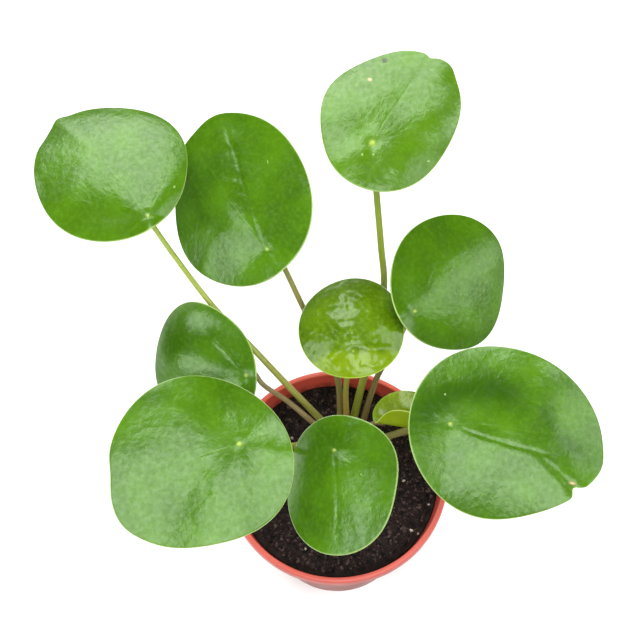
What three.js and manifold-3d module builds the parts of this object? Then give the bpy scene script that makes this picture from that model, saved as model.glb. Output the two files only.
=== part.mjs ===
// A potted pilea: round shield-shaped leaves on thin arching stalks, in a round plastic nursery pot of soil.
// Millimetres, +Z up. The origin is the middle of the pot's foot, +X runs right and +Y to the back.
import * as THREE from 'three';
import Module from 'manifold-3d';
import { mergeVertices } from 'three/addons/utils/BufferGeometryUtils.js';

const wasm = await Module();
wasm.setup();

const DEG = Math.PI / 180;
const FIT = 0.3; // gap between bodies that touch

// Pot
const POT_HEIGHT = 86;
const RIM_RADIUS = 51;
const RIM_BORE = 48.4; // inside edge of the rolled lip
const LIP_DEPTH = 6;
const POT_WALL = 1.3;
const FOOT_RADIUS = 35.5;
const SHOULDER_RADIUS = 48.9; // outside of the wall, just under the lip
const FOOT_RING = 4.5; // width of the ring it stands on
const PAD_RADIUS = 12; // flat middle of the foot
const RECESS = 1.2;
const FLOOR = 3;
const DRAIN_HOLES = 6;
const DRAIN_RADIUS = 3.6;
const DRAIN_CIRCLE = 22;
const POT_SPOKES = 44;

// Soil
const SOIL_TOP = 76.5;
const SOIL_LUMP = 0.9; // height of the unevenness of its surface

// Short woody trunk that all the stalks leave from
const TRUNK = new THREE.Vector2(6.6, 14.5);
const TRUNK_RADIUS = 6.2;
const TRUNK_TOP = 97;
const TRUNK_ROOT = 26; // how deep it stands in its hole

// Leaves
const BLADE = 1.0; // thickness
const SPOKES = 34;
const RINGS = [0.28, 0.55, 0.8, 0.94, 1];
const YOUNG_RINGS = [0.3, 0.6, 0.86, 1];
const STALK_SIDES = 8;
const STALK_STEPS = 11;

// One entry a leaf.
//   dot: where the stalk meets the upper face; turn: heading of the midrib, then pitch (far end down) and
//   roll (left side up), in degrees; inset: how far the dot is from the near edge, as a share of the length;
//   fold: slope of the two halves away from the midrib; dome: how far the edge drops; wave: [height, count, phase];
//   taper: how much the far end narrows; lobes: [count, depth, bearing] of the outline's unevenness;
//   dents: [bearing, depth, spread], with the sharp ones in cuts; foot: [bearing, height] of the stalk on the
//   trunk; via: points that the stalk passes; stalk: its radius at the trunk and under the blade.
const LEAVES = [
  {
    key: 'back_left',
    dot: [-75.4, 82.6, 180],
    turn: [125, 1, -5],
    size: [71, 66],
    inset: 0.09,
    fold: 7,
    dome: 5,
    wave: [1.3, 3, 200],
    lobes: [[1, 2.0, 1], [2, 0.7, 40], [3, 0.8, 31], [4, 1.0, 13]],
    dents: [],
    cuts: [[6, 1.8, 5], [21, -0.9, 7]],
    foot: [147, 84],
    via: [[-20.1, 34, 106], [-34.9, 46.2, 121], [-53.6, 65.5, 130]],
    stalk: [1.9, 1.1],
  },
  {
    key: 'back_middle',
    dot: [-26.8, 73.2, 165],
    turn: [121, -3, -31],
    size: [80, 67],
    inset: 0.14,
    fold: 12,
    dome: 4.5,
    wave: [1.2, 3, 60],
    taper: 0.05,
    lobes: [[1, 0.5, -101], [2, 1.9, -59], [3, 1.4, -35], [4, 0.4, -17]],
    dents: [[-22, 0.9, 12], [-5, -1.0, 10]],
    foot: [122, 87],
    via: [[1.6, 38.6, 106], [-6.5, 53, 118], [-13.1, 62.4, 133]],
    stalk: [1.8, 1.15],
  },
  {
    key: 'back_right',
    dot: [18.5, 101, 200],
    turn: [57, -11, 7],
    size: [64.6, 56.2],
    inset: 0.27,
    fold: 8,
    dome: 4.5,
    wave: [1.1, 4, 20],
    lobes: [[2, 0.3, -11], [3, 1.2, -31], [4, 0.3, -5]],
    dents: [[-16, 1.7, 9]],
    cuts: [[-3, -1.1, 3.5]],
    foot: [80, 87],
    via: [[13.8, 37.6, 106], [20.7, 54, 121], [23.8, 69.4, 136], [22.2, 77.4, 157]],
    stalk: [2.0, 1.35],
  },
  {
    key: 'right',
    dot: [35.4, 48.7, 150],
    turn: [42, 9, 31],
    size: [64, 58.4],
    inset: 0.11,
    fold: 10,
    dome: 4.5,
    wave: [1.0, 3, 110],
    lobes: [[1, 0.5, -86], [2, 1.0, 59], [3, 0.9, 34], [4, 0.6, 14]],
    dents: [],
    foot: [48, 85],
    via: [[19.9, 36.7, 109], [27, 44, 121], [31.3, 47.8, 136]],
    stalk: [1.8, 1.1],
  },
  {
    key: 'centre',
    dot: [8.2, 30.9, 150],
    turn: [92, -2, -4],
    size: [47.5, 45.6],
    inset: 0.21,
    fold: 4,
    dome: 8.5,
    wave: [0.8, 3, 240],
    lobes: [[3, 0.3, -26]],
    dents: [],
    foot: [99, 91.5],
    via: [[5.4, 31.5, 112]],
    stalk: [1.5, 1.05],
    young: true,
  },
  {
    key: 'left',
    dot: [-38.6, 31.6, 127],
    turn: [154, 14, -40],
    size: [56, 52.5],
    inset: 0.09,
    fold: 10,
    dome: 4,
    wave: [0.9, 3, 10],
    lobes: [[1, 2.4, 73], [2, 1.1, -69], [3, 1.5, 58], [4, 0.8, -34]],
    dents: [],
    foot: [178, 86],
    via: [[-12, 21.6, 98], [-20.8, 28, 103.5], [-32.2, 32.6, 115]],
    stalk: [1.6, 1.05],
  },
  {
    key: 'front_left',
    dot: [-38.3, -13.9, 165],
    turn: [200, -2, -9],
    size: [72.5, 68.2],
    inset: 0.27,
    fold: 8,
    dome: 5,
    wave: [1.4, 4, 120],
    lobes: [[1, 0.4, -160], [2, 0.4, -53], [3, 1.1, 24], [4, 0.3, 33]],
    dents: [[19, 1.3, 14], [-11, -1.2, 12]],
    foot: [208, 88],
    via: [[-10, 8.5, 101], [-18.9, 4, 111], [-26.4, -4, 134]],
    stalk: [2.0, 1.3],
  },
  {
    key: 'front',
    dot: [-1.5, -8.2, 138],
    turn: [-92, 10, 20],
    size: [57.6, 49.8],
    inset: 0.28,
    fold: 16,
    dome: 4,
    wave: [0.9, 3, 330],
    taper: 0.07,
    lobes: [[1, 0.7, 7], [2, 0.5, -3], [4, 0.7, 36]],
    dents: [],
    foot: [250, 90],
    via: [[3, -1, 108]],
    stalk: [1.8, 1.1],
  },
  {
    key: 'front_right',
    dot: [44.9, -6.7, 160],
    turn: [-6, 5, 11],
    size: [79, 70],
    inset: 0.21,
    fold: 10,
    dome: 5,
    wave: [1.5, 4, 250],
    lobes: [[1, 0.3, 160], [2, 0.2, -59], [3, 1.1, -5], [4, 0.4, -16]],
    dents: [[-16, 1.2, 10]],
    cuts: [[-36, -3.0, 3.5]],
    foot: [-28, 87],
    via: [[23, 10.1, 102], [32.8, 7.8, 116], [40.2, 1, 138]],
    stalk: [2.0, 1.25],
  },
  {
    key: 'folded',
    dot: [22.8, 18.4, 104],
    turn: [-15, -3, 0],
    size: [35, 26],
    inset: 0.2,
    fold: -30,
    dome: 0,
    wave: [0.5, 3, 90],
    lobes: [],
    dents: [[200, -2.2, 22]],
    curl: [3, 128],
    foot: [8, 90.5],
    via: [[17, 18.6, 97.5]],
    stalk: [1.1, 0.8],
    young: true,
  },
];

// ---------------------------------------------------------------- helpers

function closedGeometry(positions, triangles) {
  const geometry = new THREE.BufferGeometry();
  geometry.setAttribute('position', new THREE.Float32BufferAttribute(positions, 3));
  geometry.setIndex(triangles);
  return geometry;
}

function toSolid(geometry) {
  const bare = geometry.clone();
  bare.deleteAttribute('normal');
  bare.deleteAttribute('uv');
  const merged = mergeVertices(bare, 1e-3);
  return new wasm.Manifold(
    new wasm.Mesh({
      numProp: 3,
      vertProperties: merged.attributes.position.array,
      triVerts: new Uint32Array(merged.index.array),
    }),
  );
}

function toGeometry(solid) {
  const mesh = solid.getMesh();
  const positions = [];
  for (let i = 0; i < mesh.vertProperties.length; i += mesh.numProp) {
    positions.push(mesh.vertProperties[i], mesh.vertProperties[i + 1], mesh.vertProperties[i + 2]);
  }
  return closedGeometry(positions, Array.from(mesh.triVerts));
}

function cut(geometry, tools) {
  let solid = toSolid(geometry);
  for (const tool of tools) {
    solid = solid.subtract(toSolid(tool));
  }
  return toGeometry(solid);
}

function upright(geometry) {
  return geometry.rotateX(Math.PI / 2);
}

function cylinder(radius, low, high, x, y, sides) {
  const geometry = upright(new THREE.CylinderGeometry(radius, radius, high - low, sides));
  return geometry.translate(x, y, (low + high) / 2);
}

// A closed skin between two sheets given in rings around a middle: upper and lower map (share, angle) to a point,
// and both faces are split into the same triangles.
function twoSheets(angles, rings, upper, lower) {
  const positions = [];
  const triangles = [];
  const spokes = angles.length;
  const sheet = (at) => {
    const first = positions.length / 3;
    positions.push(...at(0, 0).toArray());
    for (const share of rings) {
      for (const angle of angles) {
        positions.push(...at(share, angle).toArray());
      }
    }
    return first;
  };
  const faces = (first, flip) => {
    const add = (a, b, c) => triangles.push(a, flip ? c : b, flip ? b : c);
    for (let j = 0; j < spokes; j += 1) {
      const next = (j + 1) % spokes;
      add(first, first + 1 + j, first + 1 + next);
      for (let i = 1; i < rings.length; i += 1) {
        const inner = first + 1 + (i - 1) * spokes;
        const outer = inner + spokes;
        add(inner + j, outer + j, outer + next);
        add(inner + j, outer + next, inner + next);
      }
    }
  };
  const top = sheet(upper);
  const bottom = sheet(lower);
  faces(top, false);
  faces(bottom, true);
  const topRim = top + 1 + (rings.length - 1) * spokes;
  const bottomRim = bottom + 1 + (rings.length - 1) * spokes;
  for (let j = 0; j < spokes; j += 1) {
    const next = (j + 1) % spokes;
    triangles.push(bottomRim + j, bottomRim + next, topRim + next);
    triangles.push(bottomRim + j, topRim + next, topRim + j);
  }
  return closedGeometry(positions, triangles);
}

// ---------------------------------------------------------------- pot, soil, trunk

function potGeometry() {
  const rim = POT_HEIGHT;
  const lip = rim - LIP_DEPTH;
  const innerFoot = FOOT_RADIUS - POT_WALL;
  const outline = [
    [0, 0],
    [PAD_RADIUS, 0],
    [PAD_RADIUS + 1, RECESS],
    [FOOT_RADIUS - FOOT_RING - 1, RECESS],
    [FOOT_RADIUS - FOOT_RING, 0],
    [FOOT_RADIUS - 0.8, 0],
    [FOOT_RADIUS, 0.8],
    [SHOULDER_RADIUS, lip],
    [RIM_RADIUS - 0.6, lip],
    [RIM_RADIUS - 0.1, lip + 0.5],
    [RIM_RADIUS, rim - 1.6],
    [RIM_RADIUS - 0.35, rim - 0.5],
    [RIM_RADIUS - 1.2, rim],
    [RIM_BORE + 0.8, rim - 0.1],
    [RIM_BORE, rim - 1],
    [SHOULDER_RADIUS - POT_WALL, lip],
    [innerFoot, FLOOR],
    [0, FLOOR],
  ];
  const body = upright(
    new THREE.LatheGeometry(outline.map(([r, z]) => new THREE.Vector2(r, z)), POT_SPOKES),
  );
  const drains = [];
  for (let i = 0; i < DRAIN_HOLES; i += 1) {
    const angle = (i + 0.5) * 2 * Math.PI / DRAIN_HOLES;
    const x = DRAIN_CIRCLE * Math.cos(angle);
    const y = DRAIN_CIRCLE * Math.sin(angle);
    drains.push(cylinder(DRAIN_RADIUS, -1, FLOOR + 1, x, y, 12));
  }
  return cut(body, drains);
}

// Inside radius of the pot's wall at a height, less the fit.
function soilRadius(z) {
  const share = (z - FLOOR) / (POT_HEIGHT - LIP_DEPTH - FLOOR);
  const inner = FOOT_RADIUS + (SHOULDER_RADIUS - FOOT_RADIUS) * share - POT_WALL;
  return inner - FIT - 0.15;
}

function soilHeight(x, y) {
  const swell = Math.sin(0.09 * x + 1) + Math.cos(0.11 * y - 0.4);
  const crumbs = Math.sin(0.31 * x + 0.17 * y) * Math.cos(0.27 * y - 0.13 * x + 2);
  return SOIL_TOP + SOIL_LUMP * (0.35 * swell + 0.65 * crumbs);
}

function soilGeometry() {
  const rings = [0.2, 0.4, 0.6, 0.8, 1];
  const angles = evenAngles(POT_SPOKES);
  const floor = FLOOR + FIT;
  const top = soilRadius(SOIL_TOP);
  const bottom = soilRadius(floor);
  const upper = (share, angle) => {
    const x = top * share * Math.cos(angle);
    const y = top * share * Math.sin(angle);
    return new THREE.Vector3(x, y, share === 1 ? SOIL_TOP : soilHeight(x, y));
  };
  const lower = (share, angle) =>
    new THREE.Vector3(bottom * share * Math.cos(angle), bottom * share * Math.sin(angle), floor);
  const body = twoSheets(angles, rings, upper, lower);
  const hole = cylinder(
    TRUNK_RADIUS + FIT, SOIL_TOP - TRUNK_ROOT, SOIL_TOP + 8, TRUNK.x, TRUNK.y, 20,
  );
  return cut(body, [hole]);
}

function trunkGeometry() {
  const low = SOIL_TOP - TRUNK_ROOT + FIT;
  const outline = [
    [0, low],
    [TRUNK_RADIUS - 1.2, low],
    [TRUNK_RADIUS - 0.1, low + 1.2],
    [TRUNK_RADIUS - 0.1, SOIL_TOP + 4],
    [TRUNK_RADIUS - 0.5, SOIL_TOP + 10],
    [TRUNK_RADIUS - 0.4, SOIL_TOP + 15],
    [TRUNK_RADIUS - 1.6, TRUNK_TOP - 2],
    [TRUNK_RADIUS - 3.6, TRUNK_TOP - 0.3],
    [0, TRUNK_TOP],
  ];
  const body = new THREE.LatheGeometry(outline.map(([r, z]) => new THREE.Vector2(r, z)), 20);
  return upright(body).translate(TRUNK.x, TRUNK.y, 0);
}

// ---------------------------------------------------------------- leaves

function evenAngles(count) {
  return Array.from({ length: count }, (_, i) => i * 2 * Math.PI / count);
}

// Even spokes, with closer ones where the edge has a sharp cut.
function leafAngles(leaf) {
  const angles = evenAngles(SPOKES);
  for (const [centre, , spread] of leaf.cuts ?? []) {
    for (const share of [-1.6, -0.8, 0, 0.8, 1.6]) {
      const angle = (centre + share * spread) * DEG;
      angles.push((angle + 2 * Math.PI) % (2 * Math.PI));
    }
  }
  angles.sort((a, b) => a - b);
  return angles.filter((angle, i) => i === 0 || angle - angles[i - 1] > 1.1 * DEG);
}

function edgeRadius(leaf, angle) {
  const [length, width] = leaf.size;
  let radius = 1 / Math.hypot(2 * Math.cos(angle) / length, 2 * Math.sin(angle) / width);
  for (const [count, depth, bearing] of leaf.lobes) {
    radius += depth * Math.cos(count * (angle - bearing * DEG));
  }
  for (const [centre, depth, spread] of [...leaf.dents, ...(leaf.cuts ?? [])]) {
    const off = THREE.MathUtils.euclideanModulo(angle / DEG - centre + 180, 360) - 180;
    radius += depth * Math.exp(-((off / spread) ** 2));
  }
  return radius;
}

// Rolls the right half of a young blade over towards its upper face, round a tube beside the midrib.
function curled(point, [tube, most]) {
  if (point.y >= 0) {
    return point;
  }
  const turned = Math.min(-point.y / tube, most * DEG);
  const straight = -point.y - turned * tube;
  const reach = tube - point.z;
  return new THREE.Vector3(
    point.x,
    -reach * Math.sin(turned) - straight * Math.cos(turned),
    tube - reach * Math.cos(turned) + straight * Math.sin(turned),
  );
}

// A point of a sheet in the blade's own frame, that far under the upper face: x along the midrib, y to its left,
// z up from the dot.
function bladePoint(leaf, share, angle, depth = 0) {
  const [length, width] = leaf.size;
  const radius = share * edgeRadius(leaf, angle);
  const x = radius * Math.cos(angle);
  const y = radius * Math.sin(angle) * (1 - (leaf.taper ?? 0) * Math.cos(angle));
  const back = (0.5 - leaf.inset) * length;
  const dotShare = back / (length / 2);
  const lift = (q, side, turn) => {
    const soft = 0.06 * width;
    const across = leaf.curl ? Math.max(side, 0) : side;
    const fold = Math.tan(leaf.fold * DEG) * (Math.hypot(across, soft) - soft);
    const [height, count, phase] = leaf.wave;
    return -leaf.dome * q * q - fold + height * q * q * Math.sin(count * turn + phase * DEG);
  };
  const z = lift(share, y, angle) - lift(dotShare, 0, Math.PI) - depth;
  const point = new THREE.Vector3(x + back, y, z);
  return leaf.curl ? curled(point, leaf.curl) : point;
}

function bladePlacement(leaf) {
  const [heading, pitch, roll] = leaf.turn;
  const turn = new THREE.Euler(roll * DEG, pitch * DEG, heading * DEG, 'ZYX');
  return new THREE.Matrix4()
    .makeRotationFromEuler(turn)
    .setPosition(new THREE.Vector3(...leaf.dot));
}

function bladeGeometry(leaf) {
  const upper = (share, angle) => bladePoint(leaf, share, angle);
  const lower = (share, angle) => bladePoint(leaf, share, angle, BLADE);
  const rings = leaf.young ? YOUNG_RINGS : RINGS;
  const body = twoSheets(leafAngles(leaf), rings, upper, lower);
  return body.applyMatrix4(bladePlacement(leaf));
}

// Where the stalk ends under the blade, and the way that the blade faces there.
function underDot(leaf) {
  const near = 1 - 2 * leaf.inset;
  const slopeFrom = bladePoint(leaf, near - 0.06, Math.PI);
  const slopeTo = bladePoint(leaf, near + 0.06, Math.PI);
  const along = slopeFrom.sub(slopeTo).normalize();
  const facing = new THREE.Vector3(-along.z, 0, along.x);
  const placement = bladePlacement(leaf);
  const normal = facing.transformDirection(placement);
  const end = new THREE.Vector3(...leaf.dot).addScaledVector(normal, -(BLADE + FIT + 0.4));
  return { end, normal };
}

function stalkPath(leaf) {
  const { end, normal } = underDot(leaf);
  const [bearing, height] = leaf.foot;
  const out = new THREE.Vector3(Math.cos(bearing * DEG), Math.sin(bearing * DEG), 0);
  const axis = new THREE.Vector3(TRUNK.x, TRUNK.y, height);
  const via = leaf.via.map((point) => new THREE.Vector3(...point));
  const rise = via[0].clone().sub(axis).normalize();
  const clear = TRUNK_RADIUS + FIT + leaf.stalk[0] * rise.z;
  const start = axis.addScaledVector(out, clear);
  const reach = end.clone().sub(via[via.length - 1]).normalize();
  const aim = normal.clone().lerp(reach, 0.35).normalize();
  const under = end.clone().addScaledVector(aim, -(leaf.young ? 5 : 9));
  return new THREE.CatmullRomCurve3([start, ...via, under, end], false, 'centripetal');
}

// A tapering round stalk along its path, closed at both ends.
function stalkGeometry(leaf) {
  const path = stalkPath(leaf);
  const frames = path.computeFrenetFrames(STALK_STEPS, false);
  const positions = [];
  const triangles = [];
  const ends = [];
  for (let i = 0; i <= STALK_STEPS; i += 1) {
    const share = i / STALK_STEPS;
    const middle = path.getPointAt(share);
    const radius = THREE.MathUtils.lerp(leaf.stalk[0], leaf.stalk[1], Math.sqrt(share));
    for (let j = 0; j < STALK_SIDES; j += 1) {
      const angle = j * 2 * Math.PI / STALK_SIDES;
      const point = middle.clone()
        .addScaledVector(frames.normals[i], radius * Math.cos(angle))
        .addScaledVector(frames.binormals[i], radius * Math.sin(angle));
      positions.push(...point.toArray());
    }
    ends.push(middle);
  }
  const first = positions.length / 3;
  positions.push(...ends[0].toArray(), ...ends[STALK_STEPS].toArray());
  for (let j = 0; j < STALK_SIDES; j += 1) {
    const next = (j + 1) % STALK_SIDES;
    for (let i = 0; i < STALK_STEPS; i += 1) {
      const low = i * STALK_SIDES;
      const high = low + STALK_SIDES;
      triangles.push(low + j, low + next, high + next, low + j, high + next, high + j);
    }
    const last = STALK_STEPS * STALK_SIDES;
    triangles.push(first, next, j, first + 1, last + j, last + next);
  }
  return closedGeometry(positions, triangles);
}

// ---------------------------------------------------------------- the part

const FINISH = {
  pot: { color: 0xd0604a, roughness: 0.45, metalness: 0 },
  soil: { color: 0x2a211b, roughness: 0.95, metalness: 0 },
  trunk: { color: 0x6d5a3c, roughness: 0.8, metalness: 0 },
  leaf: { color: 0x4f8f2e, roughness: 0.35, metalness: 0 },
  youngLeaf: { color: 0x8fb83a, roughness: 0.25, metalness: 0 },
  stalk: { color: 0x8a8a52, roughness: 0.45, metalness: 0 },
};

const part = new THREE.Group();
part.name = 'potted_pilea';

function add(name, geometry, finish) {
  const mesh = new THREE.Mesh(geometry, new THREE.MeshStandardMaterial(finish));
  mesh.name = name;
  part.add(mesh);
}

add('pot', potGeometry(), FINISH.pot);
add('soil', soilGeometry(), FINISH.soil);
add('trunk', trunkGeometry(), FINISH.trunk);
for (const leaf of LEAVES) {
  add(`leaf_${leaf.key}`, bladeGeometry(leaf), leaf.young ? FINISH.youngLeaf : FINISH.leaf);
  add(`stalk_${leaf.key}`, stalkGeometry(leaf), FINISH.stalk);
}

export default part;
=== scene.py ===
"""A potted pilea plant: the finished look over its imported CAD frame, for Blender 4.5.

Sizes in the classes are millimetres, because the plant was measured in them. Every mesh is made in metres, in
the frame of the CAD model: z is up from the table, x is to the right and y is away from the camera, and the
pot's axis is at zero.
"""

from __future__ import annotations

import logging
import math
from dataclasses import dataclass, field
from enum import Enum

import bmesh
import bpy
import numpy as np
from mathutils import Euler, Matrix, Vector

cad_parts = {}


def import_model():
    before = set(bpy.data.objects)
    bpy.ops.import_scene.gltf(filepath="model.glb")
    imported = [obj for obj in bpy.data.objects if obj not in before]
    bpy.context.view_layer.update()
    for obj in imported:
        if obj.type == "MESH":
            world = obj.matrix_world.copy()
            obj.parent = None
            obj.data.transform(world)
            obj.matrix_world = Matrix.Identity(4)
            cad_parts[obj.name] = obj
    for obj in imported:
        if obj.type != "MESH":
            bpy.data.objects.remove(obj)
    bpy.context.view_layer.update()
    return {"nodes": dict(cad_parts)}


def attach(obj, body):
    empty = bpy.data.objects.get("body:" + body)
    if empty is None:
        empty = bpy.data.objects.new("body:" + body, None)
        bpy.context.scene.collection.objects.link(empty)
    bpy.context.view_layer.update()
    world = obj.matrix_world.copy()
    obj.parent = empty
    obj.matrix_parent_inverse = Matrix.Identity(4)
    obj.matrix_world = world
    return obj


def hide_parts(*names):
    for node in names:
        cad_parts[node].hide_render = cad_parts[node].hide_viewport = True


LOG = logging.getLogger("potted_pilea")
MM = 0.001
FULL_TURN = 6.283
BODY = "root"

Line = tuple[tuple[float, float], ...]
Line3 = tuple[tuple[float, float, float], ...]

# The kinds and settings of the nodes that the finishes use again and again.
NOISE, BUMP = "ShaderNodeTexNoise", "ShaderNodeBump"
RANGE, MIX = "ShaderNodeMapRange", "ShaderNodeMix"
CARRIED, PLACE = "ShaderNodeAttribute", "ShaderNodeTexCoord"
RGBA = {"data_type": "RGBA"}


class Slot(Enum):
    """The record's material slots."""

    POT = "pot_plastic"
    SOIL = "soil"
    TRUNK = "trunk"
    LEAF = "leaf"
    YOUNG_LEAF = "young_leaf"
    STALK = "stalk"


class Age(Enum):
    """How far a leaf has grown, which sets its skin."""

    GROWN = "grown"
    YOUNG = "young"
    UNROLLING = "unrolling"


# How long the straight neck of the stalk under the dot is, in millimetres.
NECKS = {Age.GROWN: 9.0, Age.YOUNG: 5.0, Age.UNROLLING: 5.0}


class Blemish(Enum):
    """What a mark on a leaf is, and the blade attribute that carries it."""

    DRY = "dry"
    ROTTEN = "rotten"
    SCALE = "scale"


# ---------------------------------------------------------------- helpers


def linear(hex_colour: str) -> tuple[float, float, float, float]:
    """Turns an sRGB hex colour to linear values.

    Args:
        hex_colour: six hex digits with a leading hash.

    Returns:
        Red, green, blue and an alpha of one.
    """
    parts = [int(hex_colour[i : i + 2], 16) / 255 for i in (1, 3, 5)]
    out = [c / 12.92 if c <= 0.04045 else ((c + 0.055) / 1.055) ** 2.4 for c in parts]
    return (*out, 1.0)


def add_node(
    tree: bpy.types.NodeTree,
    kind: str,
    settings: dict[str, object] | None = None,
    inputs: dict[str | int, object] | None = None,
) -> bpy.types.Node:
    """Adds one node with its settings, its values and its links.

    Args:
        tree: the node tree.
        kind: the node's type name.
        settings: the node's own properties.
        inputs: a value for each input socket, or the output socket that feeds it.

    Returns:
        The node.
    """
    node = tree.nodes.new(kind)
    for name, value in (settings or {}).items():
        setattr(node, name, value)
    for key, value in (inputs or {}).items():
        if isinstance(value, bpy.types.NodeSocket):
            tree.links.new(value, node.inputs[key])
        else:
            node.inputs[key].default_value = value
    return node


def new_material(name: str) -> tuple[bpy.types.Material, bpy.types.NodeTree]:
    """Makes an empty node material.

    Args:
        name: the material's name.

    Returns:
        The material and its tree.
    """
    material = bpy.data.materials.new(name)
    material.use_nodes = True
    material.node_tree.nodes.clear()
    return material, material.node_tree


def patches(
    where: bpy.types.NodeSocket, size: float, detail: float = 2.0, distortion: float = 0.0
) -> dict[str | int, object]:
    """The inputs of a noise whose patches have a real size.

    Args:
        where: the coordinates' socket, in metres.
        size: the width of one light or dark patch, in millimetres.
        detail: how many finer layers are added.
        distortion: how far the patches are stirred.

    Returns:
        The noise's inputs.
    """
    return {"Vector": where, "Scale": 0.5 / (size * MM), "Detail": detail, "Distortion": distortion}


def between(
    value: bpy.types.NodeSocket, ends: tuple[float, float], low: float = 0.3, high: float = 0.7
) -> dict[str | int, object]:
    """The inputs that map the middle of a pattern's range to two ends.

    Args:
        value: the pattern's socket.
        ends: the results at low and at high.
        low: the value that gives the first end.
        high: the value that gives the second end.

    Returns:
        The map range's inputs.
    """
    return {0: value, 1: low, 2: high, 3: ends[0], 4: ends[1]}


def pressed_in(height: bpy.types.NodeSocket, depth: float) -> dict[str | int, object]:
    """The inputs that press a height pattern into the surface's shading.

    Args:
        height: the pattern's socket.
        depth: how deep the pattern's whole range is, in millimetres.

    Returns:
        The bump's inputs.
    """
    return {"Strength": 1.0, "Distance": depth * MM, "Height": height}


def close_shader(tree: bpy.types.NodeTree, inputs: dict[str | int, object]) -> None:
    """Ends a material in a Principled shader.

    Args:
        tree: the material's tree.
        inputs: the shader's values and links.
    """
    shader = add_node(tree, "ShaderNodeBsdfPrincipled", None, inputs)
    add_node(tree, "ShaderNodeOutputMaterial", None, {"Surface": shader.outputs[0]})


def soft_step(low: float, high: float, value: np.ndarray) -> np.ndarray:
    """Eases from zero at low to one at high.

    Args:
        low: where the step starts.
        high: where it ends.
        value: the values.

    Returns:
        The eased shares.
    """
    t = np.clip((value - low) / (high - low), 0, 1)
    return t * t * (3 - 2 * t)


def rough_field(x: np.ndarray, y: np.ndarray, seed: int) -> np.ndarray:
    """A smooth random height over a plane, one lump to a unit.

    Args:
        x: first coordinate, in lumps.
        y: second coordinate, in lumps.
        seed: the pattern's seed.

    Returns:
        Heights from about -1 to 1.
    """
    table = np.random.default_rng(seed).uniform(-1, 1, (64, 64))
    column, row = np.floor(x).astype(int), np.floor(y).astype(int)
    u, v = x - column, y - row
    u, v = u * u * (3 - 2 * u), v * v * (3 - 2 * v)
    a, b = table[column % 64, row % 64], table[(column + 1) % 64, row % 64]
    c, d = table[column % 64, (row + 1) % 64], table[(column + 1) % 64, (row + 1) % 64]
    return (a * (1 - u) + b * u) * (1 - v) + (c * (1 - u) + d * u) * v


def near_line(x: np.ndarray, y: np.ndarray, line: Line) -> tuple[np.ndarray, np.ndarray]:
    """How far points are from a line of several stretches.

    Args:
        x: the points' first coordinate.
        y: their second coordinate.
        line: the line's corners.

    Returns:
        The distance to the line, and the share along it where it is nearest.
    """
    corners = np.array(line, float)
    lengths = np.hypot(*np.diff(corners, axis=0).T)
    total, walked = lengths.sum(), 0.0
    best, where = np.full(x.shape, 1e9), np.zeros(x.shape)
    for (ax, ay), (bx, by), length in zip(corners[:-1], corners[1:], lengths):
        t = np.clip(((x - ax) * (bx - ax) + (y - ay) * (by - ay)) / length**2, 0, 1)
        off = np.hypot(x - ax - t * (bx - ax), y - ay - t * (by - ay))
        nearer = off < best
        best = np.where(nearer, off, best)
        where = np.where(nearer, (walked + t * length) / total, where)
        walked += length
    return best, where


def mesh_object(
    name: str,
    points: np.ndarray,
    faces: list[tuple[int, ...]] | np.ndarray,
    materials: tuple[bpy.types.Material, ...],
    smooth: bool = True,
) -> bpy.types.Object:
    """Makes a mesh object at the origin.

    Args:
        name: the piece's name.
        points: its points, in millimetres.
        faces: its faces, with their corners counter-clockwise from outside.
        materials: its materials.
        smooth: whether it is shaded smooth.

    Returns:
        The object, linked to the scene.
    """
    mesh = bpy.data.meshes.new(name)
    mesh.from_pydata((points * MM).tolist(), [], [tuple(f) for f in faces])
    for material in materials:
        mesh.materials.append(material)
    if smooth:
        mesh.shade_smooth()
    mesh.update()
    piece = bpy.data.objects.new(name, mesh)
    bpy.context.scene.collection.objects.link(piece)
    return piece


def carry(piece: bpy.types.Object, name: str, values: np.ndarray) -> None:
    """Writes a value for each point of a mesh, for its material.

    Args:
        piece: the mesh object.
        name: the attribute's name.
        values: one number or one vector for each point.
    """
    vector = values.ndim == 2
    kind, key = ("FLOAT_VECTOR", "vector") if vector else ("FLOAT", "value")
    attribute = piece.data.attributes.new(name, kind, "POINT")
    attribute.data.foreach_set(key, values.astype(np.float32).ravel())


def grown(
    name: str, tree: bpy.types.NodeTree, source: bpy.types.Mesh, values: dict[str, object]
) -> bpy.types.Object:
    """Runs a Geometry Nodes tree on a mesh and keeps the result as a plain mesh.

    Args:
        name: the piece's name.
        tree: the Geometry Nodes tree.
        source: the mesh that it starts from.
        values: the tree's inputs by name.

    Returns:
        The object, with no modifier.
    """
    holder = bpy.data.objects.new(name + "_source", source)
    bpy.context.scene.collection.objects.link(holder)
    modifier = holder.modifiers.new("grow", "NODES")
    modifier.node_group = tree
    for item in tree.interface.items_tree:
        if item.in_out == "INPUT" and item.name in values:
            modifier[item.identifier] = values[item.name]
    depsgraph = bpy.context.evaluated_depsgraph_get()
    mesh = bpy.data.meshes.new_from_object(
        holder.evaluated_get(depsgraph), preserve_all_data_layers=True, depsgraph=depsgraph
    )
    bpy.data.objects.remove(holder)
    mesh.name = name
    piece = bpy.data.objects.new(name, mesh)
    bpy.context.scene.collection.objects.link(piece)
    return piece


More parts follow.
